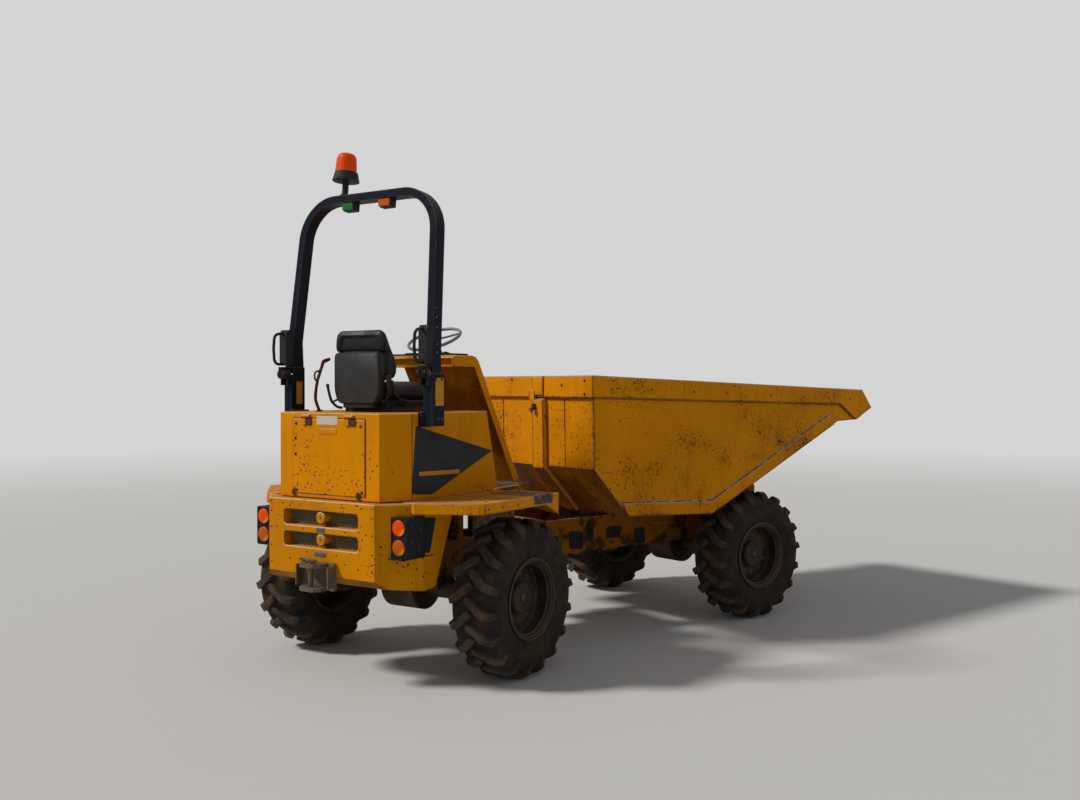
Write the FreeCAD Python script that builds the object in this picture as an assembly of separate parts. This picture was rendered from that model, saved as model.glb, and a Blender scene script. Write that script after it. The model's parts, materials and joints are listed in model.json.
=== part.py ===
import FreeCAD, Part
import math
import os

# A four-wheel articulated site dumper with a front-tipping skip.
# Lengths are millimetres, +X is forward, +Y is left and +Z is up.
# Heights are measured from the road under a loaded tyre while the pieces are drawn; the last
# section lifts the machine so that the round tyres just touch Z = 0, and centres it on the origin.

# Wheels and axles
tyre_r = 482.5
tyre_loaded_r = 462.0
tyre_w = 320.0
lug_count = 18
lug_w = 38.0
lug_skew = 7.0
lug_bend = (85.0, 77.0)
lug_end_sweep = 103.0
lug_mid = 47.0
lug_reach = 65.0
lug_crown_w = 126.0
lug_foot = (146.0, 370.0)
carcass_r = 452.5
shoulder_w = 105.0
bulge_r = 345.0
facet_phase = 0.45
bead_r = 228.6
rim_flange_r = 252.5
rim_w = 294.0
rim_flange_t = 7.0
rim_wall = 12.0
disc_depth = 120.0
disc_t = 12.0
hub_cap_r = 97.0
hub_cap_depth = 75.0
hub_back = 60.0
spindle_r = 40.0
spindle_l = 70.0
track_half = 806.0
axle_z = tyre_loaded_r
axle_tube_r = 62.0
diff_r = 150.0
diff_w = 260.0
hub_drive_r = 105.0
hub_drive_w = 175.0
seat_gap = 0.3
run_gap = 0.05

# Articulation
pivot_x = 1000.0
rest_steer = -18.5
lock_angle = 33.0
pivot_pin_r = 35.0
pivot_eye_r = 85.0
pivot_plate_t = 30.0
pivot_low_z = 430.0
pivot_high_z = 720.0
front_axle_x = 1780.0

# Rear chassis
rail_y = 290.0
rail_t = 60.0
rail_low_z = 540.0
rail_high_z = 760.0
rail_front_x = 810.0
bearer_x = (-320.0, 120.0)
bearer_t = 60.0

# Counterweight and its slots
cw_rear_x = -835.0
cw_front_x = -500.0
cw_cheek_x = -325.0
cw_cheek_t = 40.0
cw_half = 425.0
cw_corner_x = -670.0
cw_corner_y = 585.0
cw_side_y = 600.0
cw_rear_low_z = 635.0
cw_low_z = 570.0
slot_half = 298.0
slot_depth = 70.0
slot_low = (796.0, 884.0)
slot_high = (924.0, 1017.0)
slot_post_r = 33.0
slot_post_rise = 8.0
mesh_bar = 6.0
mesh_pitch = 34.0

# Rear lamp boxes
lamp_box_x = (-765.0, -600.0)
lamp_box_y = (490.0, 603.0)
lamp_box_z = (775.0, 1005.0)
lamp_r = 47.0
lamp_t = 14.0
lamp_upper_z = 948.0
lamp_lower_z = 835.0

# Bonnet, with its rear door
bonnet_rear_x = -763.0
bonnet_rear_half = 400.0
bonnet_half = 510.0
bonnet_corner_x = -610.0
bonnet_front_low_x = 260.0
bonnet_front_high_x = 135.0
bonnet_low_z = 1085.0
bonnet_top_z = 1595.0
sheet_t = 5.0
door_half = 291.0
door_low_z = 1108.0
door_high_z = 1560.0
door_t = 6.0
door_gap = 3.0
door_hinge_z = 1575.0
door_hinge_y = 175.0
door_knuckle_r = 11.0
door_knuckle_w = 60.0
door_pin_r = 5.0
door_hinge_gap = 1.0
plate_half = 70.0
plate_h = 30.0

# Decks over the rear wheels
deck_top_z = 1085.0
deck_lip_h = 65.0
deck_t = 6.0
deck_half = 950.0
deck_rear_x = -690.0
deck_rear_y = 600.0
deck_corner_x = -515.0
deck_corner_left_x = -360.0
deck_corner_in = 25.0
deck_front_x = 240.0
deck_step_x = 300.0
deck_step_in = 600.0
deck_bearer_half = 770.0
gusset_rear_x = 142.0
gusset_low_z = 949.0
gusset_in_z = 978.0
gusset_in_y = 750.0
floor_half = 395.0
floor_front_x = 860.0
floor_t = 8.0

# Engine, inside the bonnet
engine_x = (-460.0, 130.0)
engine_half = 230.0
engine_z = (770.0, 1420.0)

# Driver's seat
seat_rear_x = -523.0
seat_front_x = 30.0
seat_half = 215.0
seat_base_half = 165.0
seat_base_h = 75.0
cushion_t = 105.0
seat_box_half = 186.0
seat_box_t = 55.0
seat_box_low_z = bonnet_top_z + 51.0
seat_box_high_z = bonnet_top_z + 368.0
backrest_half = 206.0
backrest_top_z = bonnet_top_z + 505.0
backrest_rear_x = -500.0
backrest_corner = 70.0

# Console and steering wheel
console_half = 300.0
console_top_z = bonnet_top_z + 360.0
console_rear_x = 45.0
console_front_x = 337.0
console_foot_x = 818.0
console_flange = 60.0
console_dash_h = 75.0
shroud_half = 70.0
console_depth = 150.0
panel_t = 12.0
wheel_x = 245.0
wheel_z = console_top_z + 114.0
wheel_tilt = 25.0
wheel_r = 190.0
wheel_rim_r = 11.0
wheel_hub_r = 42.0
wheel_hub_t = 40.0
column_r = 25.0
column_bury = 60.0
lever_y = 300.0
lever_pitch = 30.0
lever_r = 7.0
lever_h = 190.0
knob_r = 20.0
hand_lever_y = 330.0
hand_lever_r = 8.5

# Roll frame
post_rear_x = -535.0
post_t = 115.0
post_w = 64.0
foot_w = 29.0
post_half = bonnet_half + foot_w + post_w
hoop_rear_x = post_rear_x
hoop_t = 80.0
hoop_w = 50.0
hoop_half_high = 550.0
hoop_rake = 6.2
hoop_top_z = 2958.0
hoop_bend_r = 280.0
fold_z = 1830.0
fold_gap = 5.0
fold_cheek_t = 8.0
fold_cheek_h = 45.0
heel_top_z = 2060.0
fold_pin_x = hoop_rear_x - 36.0
fold_pin_r = 14.0
fold_ear_t = 12.0
fold_ear_r = 30.0
post_low_z = 1520.0
foot_low_z = 1515.0
foot_high_z = 1604.0
foot_x = (post_rear_x - 15.0, post_rear_x + post_t + 10.0)
grab_box_x = hoop_rear_x - 46.0
grab_box_z = (1885.0, 2111.0)
grab_x = grab_box_x - 69.0
grab_low_z = 1861.0
grab_high_z = 2123.0
grab_r = 9.0
grab_bend_r = 40.0
beacon_y = 230.0
beacon_stem_r = 20.0
beacon_stem_h = 100.0
beacon_skirt_r = 86.0
beacon_skirt_h = 54.0
beacon_lens_r = 70.0
beacon_lens_h = 129.0
bar_lamp_w = 90.0
bar_lamp_x = 50.0
bar_lamp_h = 52.0
bar_lamp_lens_t = 16.0

# Tow jaw
jaw_rear_x = -950.0
jaw_half = 85.0
jaw_low_z = 560.0
jaw_high_z = 720.0
jaw_t = 22.0
jaw_back_t = 24.0
jaw_back_half = 130.0
jaw_hole_r = 14.5
jaw_hole_x = -912.0
jaw_side_t = 8.0
jaw_side_l = 72.0

# Skip, drawn in the front module's own frame with X from the articulation pivot
skip_half = 920.0
skip_wall = 8.0
skip_rear_x = 100.0
skip_rim_rear_z = 1826.0
skip_knee_z = 1190.0
skip_floor_rear = (420.0, 858.0)
skip_floor_front = (1265.0, 816.0)
skip_slope_top = (2770.0, 1466.0)
skip_lip_low = (2990.0, 1474.0)
skip_lip_tip = (3200.0, 1573.0)
skip_rim_front = (3070.0, 1722.0)
band_h = 149.0
band_t = 22.0
band_front_x = 2778.0
bead_h = 95.0
bead_t = 8.0
rib_in_y = 300.0
rib_w = 120.0
rib_t = 36.0
eye_plate_w = 60.0

# Skip pivot and tipping cylinder
tip_pivot = (2050.0, 1050.0)
tip_max = 68.0
tip_pin_r = 25.0
tip_ear_r = 60.0
tower_y = 500.0
tower_t = 25.0
ear_t = 25.0
ear_gap = 6.0
front_plate_y = 350.0
front_plate_t = 20.0
front_plate_rear_x = 150.0
front_plate_low_z = 540.0
front_plate_top_z = 790.0
front_plate_step_x = 1700.0
pad_h = 18.0
ram_base = (800.0, 600.0)
ram_eye = (1450.0, 800.0)
ram_barrel_r = 47.0
ram_rod_r = 30.0
ram_eye_r = 42.0
ram_eye_half = 32.0
ram_fork_t = 20.0
ram_fork_gap = 6.0
ram_pin_r = 22.0

# Steering cylinder
steer_base = (620.0, 150.0)
steer_eye = (100.0, 185.0)
steer_z = 590.0
steer_barrel_r = 32.0
steer_rod_r = 17.0
steer_eye_r = 28.0
steer_eye_half = 22.0
steer_fork_t = 14.0
steer_fork_gap = 6.0
steer_pin_r = 14.0

V = FreeCAD.Vector
NODES = {}
FRONT = set()


def box(x0, x1, y0, y1, z0, z1):
    return Part.makeBox(x1 - x0, y1 - y0, z1 - z0, V(x0, y0, z0))


def prism(points, along):
    wire = Part.makePolygon(points + [points[0]])
    return Part.Face(wire).extrude(along)


def xz(points, y0, y1):
    return prism([V(x, y0, z) for x, z in points], V(0, y1 - y0, 0))


def xy(points, z0, z1):
    return prism([V(x, y, z0) for x, y in points], V(0, 0, z1 - z0))


def yz(points, x0, x1):
    return prism([V(x0, y, z) for y, z in points], V(x1 - x0, 0, 0))


def cyl(x, y, z, along, r, length):
    return Part.makeCylinder(r, length, V(x, y, z), along)


def cyl_y(x, z, r, y0, y1):
    return cyl(x, y0, z, V(0, 1, 0), r, y1 - y0)


def mirrored(shape):
    return shape.mirror(V(0, 0, 0), V(0, 1, 0))


def both(shape):
    return shape.fuse(mirrored(shape))


def fused(pieces):
    out = pieces[0]
    if len(pieces) > 1:
        out = out.fuse(pieces[1:])
    return out.removeSplitter()


def inset(points, t):
    # the polygon with every side moved inwards by t; points run anticlockwise
    out = []
    n = len(points)
    for i in range(n):
        (x0, z0), (x1, z1), (x2, z2) = points[i - 1], points[i], points[(i + 1) % n]
        d1, d2 = math.hypot(x1 - x0, z1 - z0), math.hypot(x2 - x1, z2 - z1)
        n1 = (-(z1 - z0) / d1, (x1 - x0) / d1)
        n2 = (-(z2 - z1) / d2, (x2 - x1) / d2)
        k = t / (1.0 + n1[0] * n2[0] + n1[1] * n2[1])
        out.append((x1 + k * (n1[0] + n2[0]), z1 + k * (n1[1] + n2[1])))
    return out


def revolved(profile, y):
    # profile of (radius, width) points turned about the wheel's axis at the height of the axle
    face = Part.Face(Part.makePolygon([V(0, y + w, axle_z + r) for r, w in profile + profile[:1]]))
    return face.revolve(V(0, y, axle_z), V(0, 1, 0), 360)


def tube_path(points, r, bend):
    # a round tube through the points, with tangent arcs of the given radius at its corners
    edges = []
    start = points[0]
    for i in range(1, len(points) - 1):
        p, a, b = points[i], points[i - 1], points[i + 1]
        u, w = (a - p).normalize(), (b - p).normalize()
        half = u.getAngle(w) / 2.0
        cut = bend / math.tan(half)
        t0, t1 = p + u * cut, p + w * cut
        mid_dir = (u + w).normalize()
        centre = p + mid_dir * (bend / math.sin(half))
        mid = centre - mid_dir * bend
        edges.append(Part.makeLine(start, t0))
        edges.append(Part.Arc(t0, mid, t1).toShape())
        start = t1
    edges.append(Part.makeLine(start, points[-1]))
    path = Part.Wire(edges)
    ring = Part.Wire([Part.makeCircle(r, points[0], (points[1] - points[0]).normalize())])
    return path.makePipeShell([ring], True, True)


def add(name, shape, front=False):
    NODES[name] = shape
    if front:
        FRONT.add(name)


# Wheels: one tyre and one rim, drawn for the left side and mirrored for the right
half_w = tyre_w / 2.0
lug_pitch = 360.0 / lug_count
seat_r = (bead_r + seat_gap) / math.cos(math.radians(lug_pitch / 2.0))
bead_w = rim_w / 2.0 - 16.0
tyre_profile = [(seat_r, -bead_w), (seat_r, bead_w), (bulge_r, half_w), (carcass_r, shoulder_w),
                (carcass_r, -shoulder_w), (bulge_r, -half_w)]
crown_r = math.sqrt(tyre_r ** 2 - lug_reach ** 2)


def carcass():
    # flat facets between rings of (radius, width)
    rings = []
    for r, w in tyre_profile:
        turns = [math.radians(lug_pitch * (i + facet_phase)) for i in range(lug_count)]
        rings.append([V(r * math.sin(a), track_half + w, axle_z + r * math.cos(a)) for a in turns])
    faces = []
    for one, two in zip(rings, rings[1:] + rings[:1]):
        for i in range(lug_count):
            j = (i + 1) % lug_count
            faces.append(Part.Face(Part.makePolygon([one[i], one[j], two[j], two[i], one[i]])))
    solid = Part.makeSolid(Part.makeShell(faces))
    if solid.Volume < 0:
        solid.reverse()
    return solid


def lug(side):
    # drawn at the wheel's top: a bent bar over half the tread, flat on top, with a sloping outer end
    half = lug_w / 2.0
    w0, s0 = -8.0, 1.0
    w1, s1 = lug_bend
    w2, s2 = half_w + 5.0, lug_end_sweep
    plan = [(w0, s0 - half), (w1 + lug_skew, s1 - half), (w2, s2 - half), (w2, s2 + half),
            (w1 - lug_skew, s1 + half), (w0, s0 + half)]
    bar = prism([V(lug_mid - s, track_half + side * w, axle_z + bulge_r) for w, s in plan],
                V(0, 0, tyre_r - bulge_r))
    ends = [(w0, carcass_r - 12.0), (w0, crown_r), (lug_crown_w, crown_r), lug_foot,
            (shoulder_w - 5.0, lug_foot[1])]
    return bar.common(prism([V(-2 * lug_reach, track_half + side * w, axle_z + r) for w, r in ends],
                            V(4 * lug_reach, 0, 0)))


def tyre():
    # the lugs of the two sides stand half a pitch apart, and a crown's corner stands on the ground
    hub, across = V(0, 0, axle_z), V(0, 1, 0)
    lugs = []
    for side, start in ((1, 0.0), (-1, 0.5)):
        one = lug(side)
        for i in range(lug_count):
            copy = one.copy()
            copy.rotate(hub, across, lug_pitch * (i + start))
            lugs.append(copy)
    whole = carcass().fuse(lugs)
    whole.rotate(hub, across, -math.degrees(math.asin(lug_reach / tyre_r)))
    return whole


disc_w = rim_w / 2.0 - disc_depth
rim_in_r = bead_r - rim_wall
rim_profile = [
    (spindle_r + run_gap, -hub_back), (spindle_r + run_gap, spindle_l - hub_back + 2.0),
    (0.0, spindle_l - hub_back + 2.0), (0.0, rim_w / 2.0 - hub_cap_depth),
    (hub_cap_r - 9.0, rim_w / 2.0 - hub_cap_depth), (hub_cap_r, rim_w / 2.0 - hub_cap_depth - 9.0),
    (hub_cap_r, disc_w + 8.0), (hub_cap_r + 50.0, disc_w + 14.0), (rim_in_r - 12.0, disc_w),
    (rim_in_r, disc_w + 14.0), (rim_in_r, rim_w / 2.0 - 32.0), (rim_flange_r - 22.0, rim_w / 2.0 - 8.0),
    (rim_flange_r - 16.0, rim_w / 2.0), (rim_flange_r, rim_w / 2.0),
    (rim_flange_r, rim_w / 2.0 - rim_flange_t), (bead_r + 6.0, rim_w / 2.0 - rim_flange_t),
    (bead_r, rim_w / 2.0 - 15.0), (bead_r, -rim_w / 2.0 + 15.0),
    (bead_r + 6.0, -rim_w / 2.0 + rim_flange_t), (rim_flange_r, -rim_w / 2.0 + rim_flange_t),
    (rim_flange_r, -rim_w / 2.0), (rim_flange_r - 16.0, -rim_w / 2.0),
    (rim_in_r, -rim_w / 2.0 + 32.0), (rim_in_r - 12.0, disc_w - disc_t),
    (hub_cap_r + 50.0, disc_w + 14.0 - disc_t), (hub_cap_r + 10.0, -hub_back)]
tyre_left = tyre()
rim_left = revolved(rim_profile, track_half)

# Axle beam with its differential, hub drives and spindles; the same piece serves both axles
hub_out = track_half - hub_back - 1.0


def axle(saddle_in, saddle_out, saddle_top):
    return fused([
        cyl_y(0, axle_z, axle_tube_r, -hub_out, hub_out),
        cyl_y(0, axle_z, diff_r, -diff_w / 2.0, diff_w / 2.0),
        both(cyl_y(0, axle_z, hub_drive_r, hub_out - hub_drive_w, hub_out)),
        both(cyl_y(0, axle_z, spindle_r, hub_out, track_half - hub_back + spindle_l)),
        both(box(-90, 90, saddle_in, saddle_out, axle_z, saddle_top))])



# columns: end of the machine, place along its module, front module or not, and the axle's saddles
# (inner side, outer side, top)
WHEELS = [
    {"end": "rear", "x": 0.0, "front": False, "saddle": (rail_y - rail_t, rail_y, rail_low_z)},
    {"end": "front", "x": front_axle_x, "front": True,
     "saddle": (front_plate_y - front_plate_t - 10, front_plate_y + 10, front_plate_low_z)}]
for row in WHEELS:
    step = V(row["x"], 0, 0)
    for side in ("left", "right"):
        rubber, rim = tyre_left.copy(), rim_left.copy()
        if side == "right":
            rubber, rim = mirrored(rubber), mirrored(rim)
        rubber.translate(step)
        rim.translate(step)
        add(row["end"] + "_tyre_" + side, rubber, row["front"])
        add(row["end"] + "_rim_" + side, rim, row["front"])
    beam = axle(*row["saddle"])
    beam.translate(step)
    add(row["end"] + "_axle", beam, row["front"])

# Rear chassis: two rails, cross plates and the two pivot plates
rails = both(box(cw_front_x, rail_front_x, rail_y - rail_t, rail_y, rail_low_z, rail_high_z))
steer_window = box(rail_front_x - 41, rail_front_x + 1, 86, rail_y - rail_t - 3, steer_z - 52, steer_z + 52)
cross = [
    box(rail_front_x - 40, rail_front_x, -rail_y, rail_y, pivot_low_z, pivot_high_z).cut(steer_window),
    box(cw_front_x, cw_front_x + 20, -rail_y, rail_y, rail_low_z, rail_high_z)]
plates = []
for z in (pivot_low_z, pivot_high_z - pivot_plate_t):
    tongue = xy([(rail_front_x, -200), (pivot_x, -pivot_eye_r), (pivot_x, pivot_eye_r),
                 (rail_front_x, 200)], z, z + pivot_plate_t)
    plates += [tongue, cyl(pivot_x, 0, z, V(0, 0, 1), pivot_eye_r, pivot_plate_t)]
steer_fork_z = steer_eye_half + steer_fork_gap
sb_x, sb_y = steer_base
for z in (steer_z + steer_fork_z, steer_z - steer_fork_z - steer_fork_t):
    plates += [cyl(sb_x, sb_y, z, V(0, 0, 1), steer_eye_r + 8, steer_fork_t),
               box(sb_x - 36, sb_x + 36, sb_y, rail_y - rail_t + 5, z, z + steer_fork_t)]
steer_pin = cyl(sb_x, sb_y, steer_z - steer_fork_z - steer_fork_t, V(0, 0, 1), steer_pin_r,
                2 * (steer_fork_z + steer_fork_t))
pivot_pin = cyl(pivot_x, 0, pivot_low_z, V(0, 0, 1), pivot_pin_r, pivot_high_z - pivot_low_z)
bearer_parts = []
for x in bearer_x:
    bearer_parts += [
        box(x, x + bearer_t, rail_y - rail_t, deck_bearer_half, deck_top_z - deck_lip_h, deck_top_z - deck_t),
        box(x, x + bearer_t, rail_y - rail_t, rail_y, rail_high_z, deck_top_z - deck_lip_h)]
deck_bearers = both(fused(bearer_parts))
add("rear_frame", fused([rails] + cross + plates + [steer_pin, pivot_pin, deck_bearers]))

cw_top_z = deck_top_z - deck_t
lip_z = deck_top_z - deck_lip_h

# Counterweight with two slots across its rear face, a round post and a grille of bars in each, and
# side cheeks that reach forward over the rear wheels
cw_plan = [(cw_rear_x, cw_half), (cw_rear_x, -cw_half), (cw_corner_x, -cw_corner_y),
           (cw_corner_x + 60, -cw_side_y), (cw_front_x, -cw_side_y), (cw_front_x, cw_side_y),
           (cw_corner_x + 60, cw_side_y), (cw_corner_x, cw_corner_y)]
cw_side = [(cw_rear_x, cw_rear_low_z), (cw_rear_x + 55, 590), (cw_front_x - 95, cw_low_z),
           (cw_front_x, cw_low_z + 12), (cw_front_x, cw_top_z), (cw_rear_x, cw_top_z)]
counterweight = xy(cw_plan, cw_low_z - 10, cw_top_z).common(xz(cw_side, -cw_side_y, cw_side_y))
mesh_x = cw_rear_x + slot_depth
for z0, z1 in (slot_low, slot_high):
    slot = box(cw_rear_x - 1, mesh_x, -slot_half, slot_half, z0, z1)
    round_r = 20.0
    slot = slot.makeFillet(round_r, [e for e in slot.Edges if abs(e.tangentAt(e.FirstParameter).x) > 0.99])
    counterweight = counterweight.cut(slot)
    post = cyl(cw_rear_x + 4, 0, (z0 + z1) / 2.0 + slot_post_rise, V(1, 0, 0), slot_post_r, slot_depth - 4)
    bars = [box(mesh_x - mesh_bar / 2.0, mesh_x + 1, y - mesh_bar / 2.0, y + mesh_bar / 2.0, z0 - 1, z1 + 1)
            for y in (side * mesh_pitch * (k + 1.5) for side in (1, -1) for k in range(7))]
    counterweight = counterweight.fuse([post] + bars)
recess = box(lamp_box_x[0] - 60, lamp_box_x[1], lamp_box_y[0], lamp_box_y[1] + 40, *lamp_box_z)
cheek = xz([(cw_front_x - 5, cw_top_z), (cw_front_x - 5, cw_low_z + 12), (cw_front_x, cw_low_z + 12),
            (cw_cheek_x, lip_z), (cw_cheek_x, cw_top_z)], cw_side_y - cw_cheek_t, cw_side_y)
counterweight = counterweight.cut(both(recess)).fuse(both(cheek)).removeSplitter()
add("counterweight", counterweight)

# Tow jaw under the counterweight's rear face
jaw_hole = cyl(jaw_hole_x, 0, jaw_low_z - 1, V(0, 0, 1), jaw_hole_r, jaw_high_z - jaw_low_z + 2)
jaw_plan = [(cw_rear_x - jaw_back_t, -jaw_half), (cw_rear_x - jaw_back_t, jaw_half),
            (jaw_rear_x + 30, jaw_half), (jaw_rear_x, jaw_half - 35), (jaw_rear_x, -jaw_half + 35),
            (jaw_rear_x + 30, -jaw_half)]
jaw = fused([
    box(cw_rear_x - jaw_back_t, cw_rear_x, -jaw_back_half, jaw_back_half, jaw_low_z, jaw_high_z),
    xy(jaw_plan, jaw_low_z, jaw_low_z + jaw_t),
    xy(jaw_plan, jaw_high_z - jaw_t, jaw_high_z),
    both(box(cw_rear_x - jaw_side_l, cw_rear_x, jaw_back_half - jaw_side_t, jaw_back_half, jaw_low_z + 20,
             jaw_high_z - 15))]).cut(jaw_hole)
add("tow_jaw", jaw)

# Lamp boxes in the corners, each with two round lamps
lamp_y = (lamp_box_y[0] + lamp_box_y[1]) / 2.0
lamp_box = box(*lamp_box_x, *lamp_box_y, *lamp_box_z)
add("lamp_boxes", Part.makeCompound([lamp_box, mirrored(lamp_box)]))
for name, z in (("lamps_upper", lamp_upper_z), ("lamps_lower", lamp_lower_z)):
    lamp = cyl(lamp_box_x[0], lamp_y, z, V(-1, 0, 0), lamp_r, lamp_t)
    add(name, Part.makeCompound([lamp, mirrored(lamp)]))

# Bonnet: a sheet cover, open below, with an opening for the rear door
bonnet_plan = [(bonnet_rear_x, bonnet_rear_half), (bonnet_rear_x, -bonnet_rear_half),
               (bonnet_corner_x, -bonnet_half), (bonnet_front_low_x, -bonnet_half),
               (bonnet_front_low_x, bonnet_half), (bonnet_corner_x, bonnet_half)]


def bonnet_solid(t):
    front = [(bonnet_rear_x - 1, bonnet_low_z - (1 if t else 0)),
             (bonnet_front_low_x - t, bonnet_low_z - (1 if t else 0)),
             (bonnet_front_high_x - t, bonnet_top_z - t), (bonnet_rear_x - 1, bonnet_top_z - t)]
    plan = inset(bonnet_plan, t) if t else bonnet_plan
    return xy(plan, bonnet_low_z - (1 if t else 0), bonnet_top_z - t).common(
        xz(front, -bonnet_half, bonnet_half))


bonnet = bonnet_solid(0.0).cut(bonnet_solid(sheet_t))
doorway = box(bonnet_rear_x - 1, bonnet_rear_x + sheet_t + 1, -door_half - door_gap, door_half + door_gap,
              door_low_z - door_gap, door_high_z + door_gap)
bonnet = bonnet.cut(doorway)
hinge_x = bonnet_rear_x - door_knuckle_r - door_hinge_gap
hinge_tabs = []
for s in (-1, 1):
    yc = s * door_hinge_y
    lug = cyl_y(hinge_x, door_hinge_z, door_knuckle_r, yc - door_knuckle_w / 2.0, yc)
    hinge_tabs.append(lug.fuse(box(hinge_x, bonnet_rear_x, yc - door_knuckle_w / 2.0, yc,
                                   door_hinge_z - 2, door_hinge_z + door_knuckle_r)))
    hinge_tabs.append(cyl_y(hinge_x, door_hinge_z, door_pin_r, yc - 1, yc + door_knuckle_w / 2.0))
add("bonnet", fused([bonnet] + hinge_tabs))

# Rear door, hung at its top edge, with a blank plate
door = box(bonnet_rear_x - door_t, bonnet_rear_x, -door_half, door_half, door_low_z, door_high_z)
knuckles = []
for s in (-1, 1):
    yc = s * door_hinge_y
    barrel = cyl_y(hinge_x, door_hinge_z, door_knuckle_r, yc + 1, yc + door_knuckle_w / 2.0)
    leaf = box(hinge_x - 2, bonnet_rear_x - 0.5, yc + 1, yc + door_knuckle_w / 2.0,
               door_high_z - 40, door_hinge_z)
    bore = cyl_y(hinge_x, door_hinge_z, door_pin_r + run_gap, yc, yc + door_knuckle_w / 2.0 + 1)
    knuckles.append(barrel.fuse(leaf).cut(bore))
blank = box(bonnet_rear_x - door_t - 2, bonnet_rear_x - door_t, -plate_half, plate_half,
            door_high_z - 60 - plate_h, door_high_z - 60)
add("rear_door", fused([door, blank] + knuckles))

# Decks over the rear wheels: a plate with a turned-down lip, stepped forward at its outer end, where
# a triangular gusset and an end plate hang below the lip.
# The left one is cut back further at its rear corner.
gusset = xz([(gusset_rear_x, lip_z + 1), (gusset_rear_x, lip_z), (deck_step_x, gusset_low_z),
             (deck_step_x, lip_z + 1)], deck_half - deck_t, deck_half)
end_plate = yz([(deck_half, lip_z + 1), (deck_half, gusset_low_z), (gusset_in_y, gusset_in_z),
                (gusset_in_y, lip_z + 1)], deck_step_x - deck_t, deck_step_x)
for side, corner_x in (("left", deck_corner_left_x), ("right", deck_corner_x)):
    plan = [(deck_front_x, bonnet_half + seat_gap), (deck_front_x, deck_step_in), (deck_step_x, deck_step_in),
            (deck_step_x, deck_half),
            (corner_x + deck_corner_in, deck_half), (corner_x, deck_half - deck_corner_in),
            (deck_rear_x, deck_rear_y), (deck_rear_x, bonnet_half + seat_gap)]
    deck = xy(plan, lip_z, deck_top_z)
    room = inset(plan, deck_t)
    room[0], room[-1] = (room[0][0], 0.0), (room[-1][0], 0.0)
    deck = deck.cut(xy(room, lip_z - 1, deck_top_z - deck_t))
    deck = fused([deck, gusset, end_plate]).cut(counterweight)
    add("deck_" + side, deck if side == "left" else mirrored(deck))
add("floor_plate", box(bonnet_front_low_x + seat_gap, floor_front_x, -floor_half, floor_half,
                       deck_top_z - floor_t, deck_top_z).fuse(
    both(box(bonnet_front_low_x + 20, rail_front_x - 40, rail_y - 40, rail_y, rail_high_z,
             deck_top_z - floor_t))).removeSplitter())

# Engine, as one block on the rails
add("engine_block", fused([
    box(engine_x[0], engine_x[1], -engine_half + 10, engine_half - 10, engine_z[0], engine_z[1]),
    both(box(-220, -120, engine_half - 20, rail_y, rail_high_z, rail_high_z + 60))]))

# Seat: base on the bonnet, cushion, moulded rear shell and backrest
seat_base_top = bonnet_top_z + seat_base_h
add("seat_base", box(-440, -20, -seat_base_half, seat_base_half, bonnet_top_z, seat_base_top))
cushion = box(-460, seat_front_x, -seat_half, seat_half, seat_base_top + seat_gap,
              seat_base_top + seat_gap + cushion_t)
cushion = cushion.makeFillet(30, cushion.Edges)
add("seat_cushion", cushion)
shell_low = bonnet_top_z + 25
shell_side = [(seat_box_half, seat_box_high_z), (seat_box_half, seat_box_low_z + 115),
              (seat_box_half - 22, seat_box_low_z + 44), (seat_box_half - 60, seat_box_low_z)]
shell = fused([
    yz(shell_side + [(-y, z) for y, z in reversed(shell_side)], seat_rear_x, seat_rear_x + seat_box_t),
    box(seat_rear_x + 12, -440, -seat_base_half + 45, seat_base_half - 45, shell_low, seat_base_top - 10)])
add("seat_shell", shell)
pad_rear_x = seat_rear_x + seat_box_t + seat_gap
back_low = seat_base_top + seat_gap + cushion_t + 10
pad = xz([(pad_rear_x, back_low), (pad_rear_x + 73, back_low), (pad_rear_x + 103, back_low + 27),
          (pad_rear_x + 106, back_low + 77), (pad_rear_x + 85, back_low + 145),
          (pad_rear_x + 43, back_low + 220),
          (backrest_rear_x + 45, backrest_top_z - 30), (backrest_rear_x + 25, backrest_top_z),
          (backrest_rear_x, backrest_top_z), (backrest_rear_x, seat_box_high_z + seat_gap),
          (pad_rear_x, seat_box_high_z + seat_gap)], -backrest_half, backrest_half)
pad_side = [(backrest_half, back_low), (backrest_half, backrest_top_z - backrest_corner),
            (backrest_half - backrest_corner, backrest_top_z)]
add("seat_back", pad.common(yz(pad_side + [(-y, z) for y, z in reversed(pad_side)], -600, 0)))

# Console: a sheet cowl in front of the driver, open to the rear, with side flanges, a box under its
# top for the instruments and a shroud for the column
cowl_line = [(console_rear_x - 180, console_top_z - 85), (console_rear_x + 45, console_top_z),
             (console_front_x - 75, console_top_z), (console_front_x - 32, console_top_z - 9),
             (console_front_x, console_top_z - 37), (console_foot_x, deck_top_z)]
(line_x, line_z), (low_x, low_z) = cowl_line[-2:]
past = (2 * low_x - line_x, 2 * low_z - line_z)
cowl_side = [(cowl_line[0][0], past[1]), past] + cowl_line[-2::-1]


def cowl_band(t, y0, y1):
    # the band of depth t that follows the cowl's line between two planes, cut level at the deck
    return xz(cowl_side, y0, y1).cut(xz(inset(cowl_side, t), y0 - 1, y1 + 1)).common(
        box(console_rear_x, console_foot_x, y0, y1, deck_top_z, console_top_z))


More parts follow.
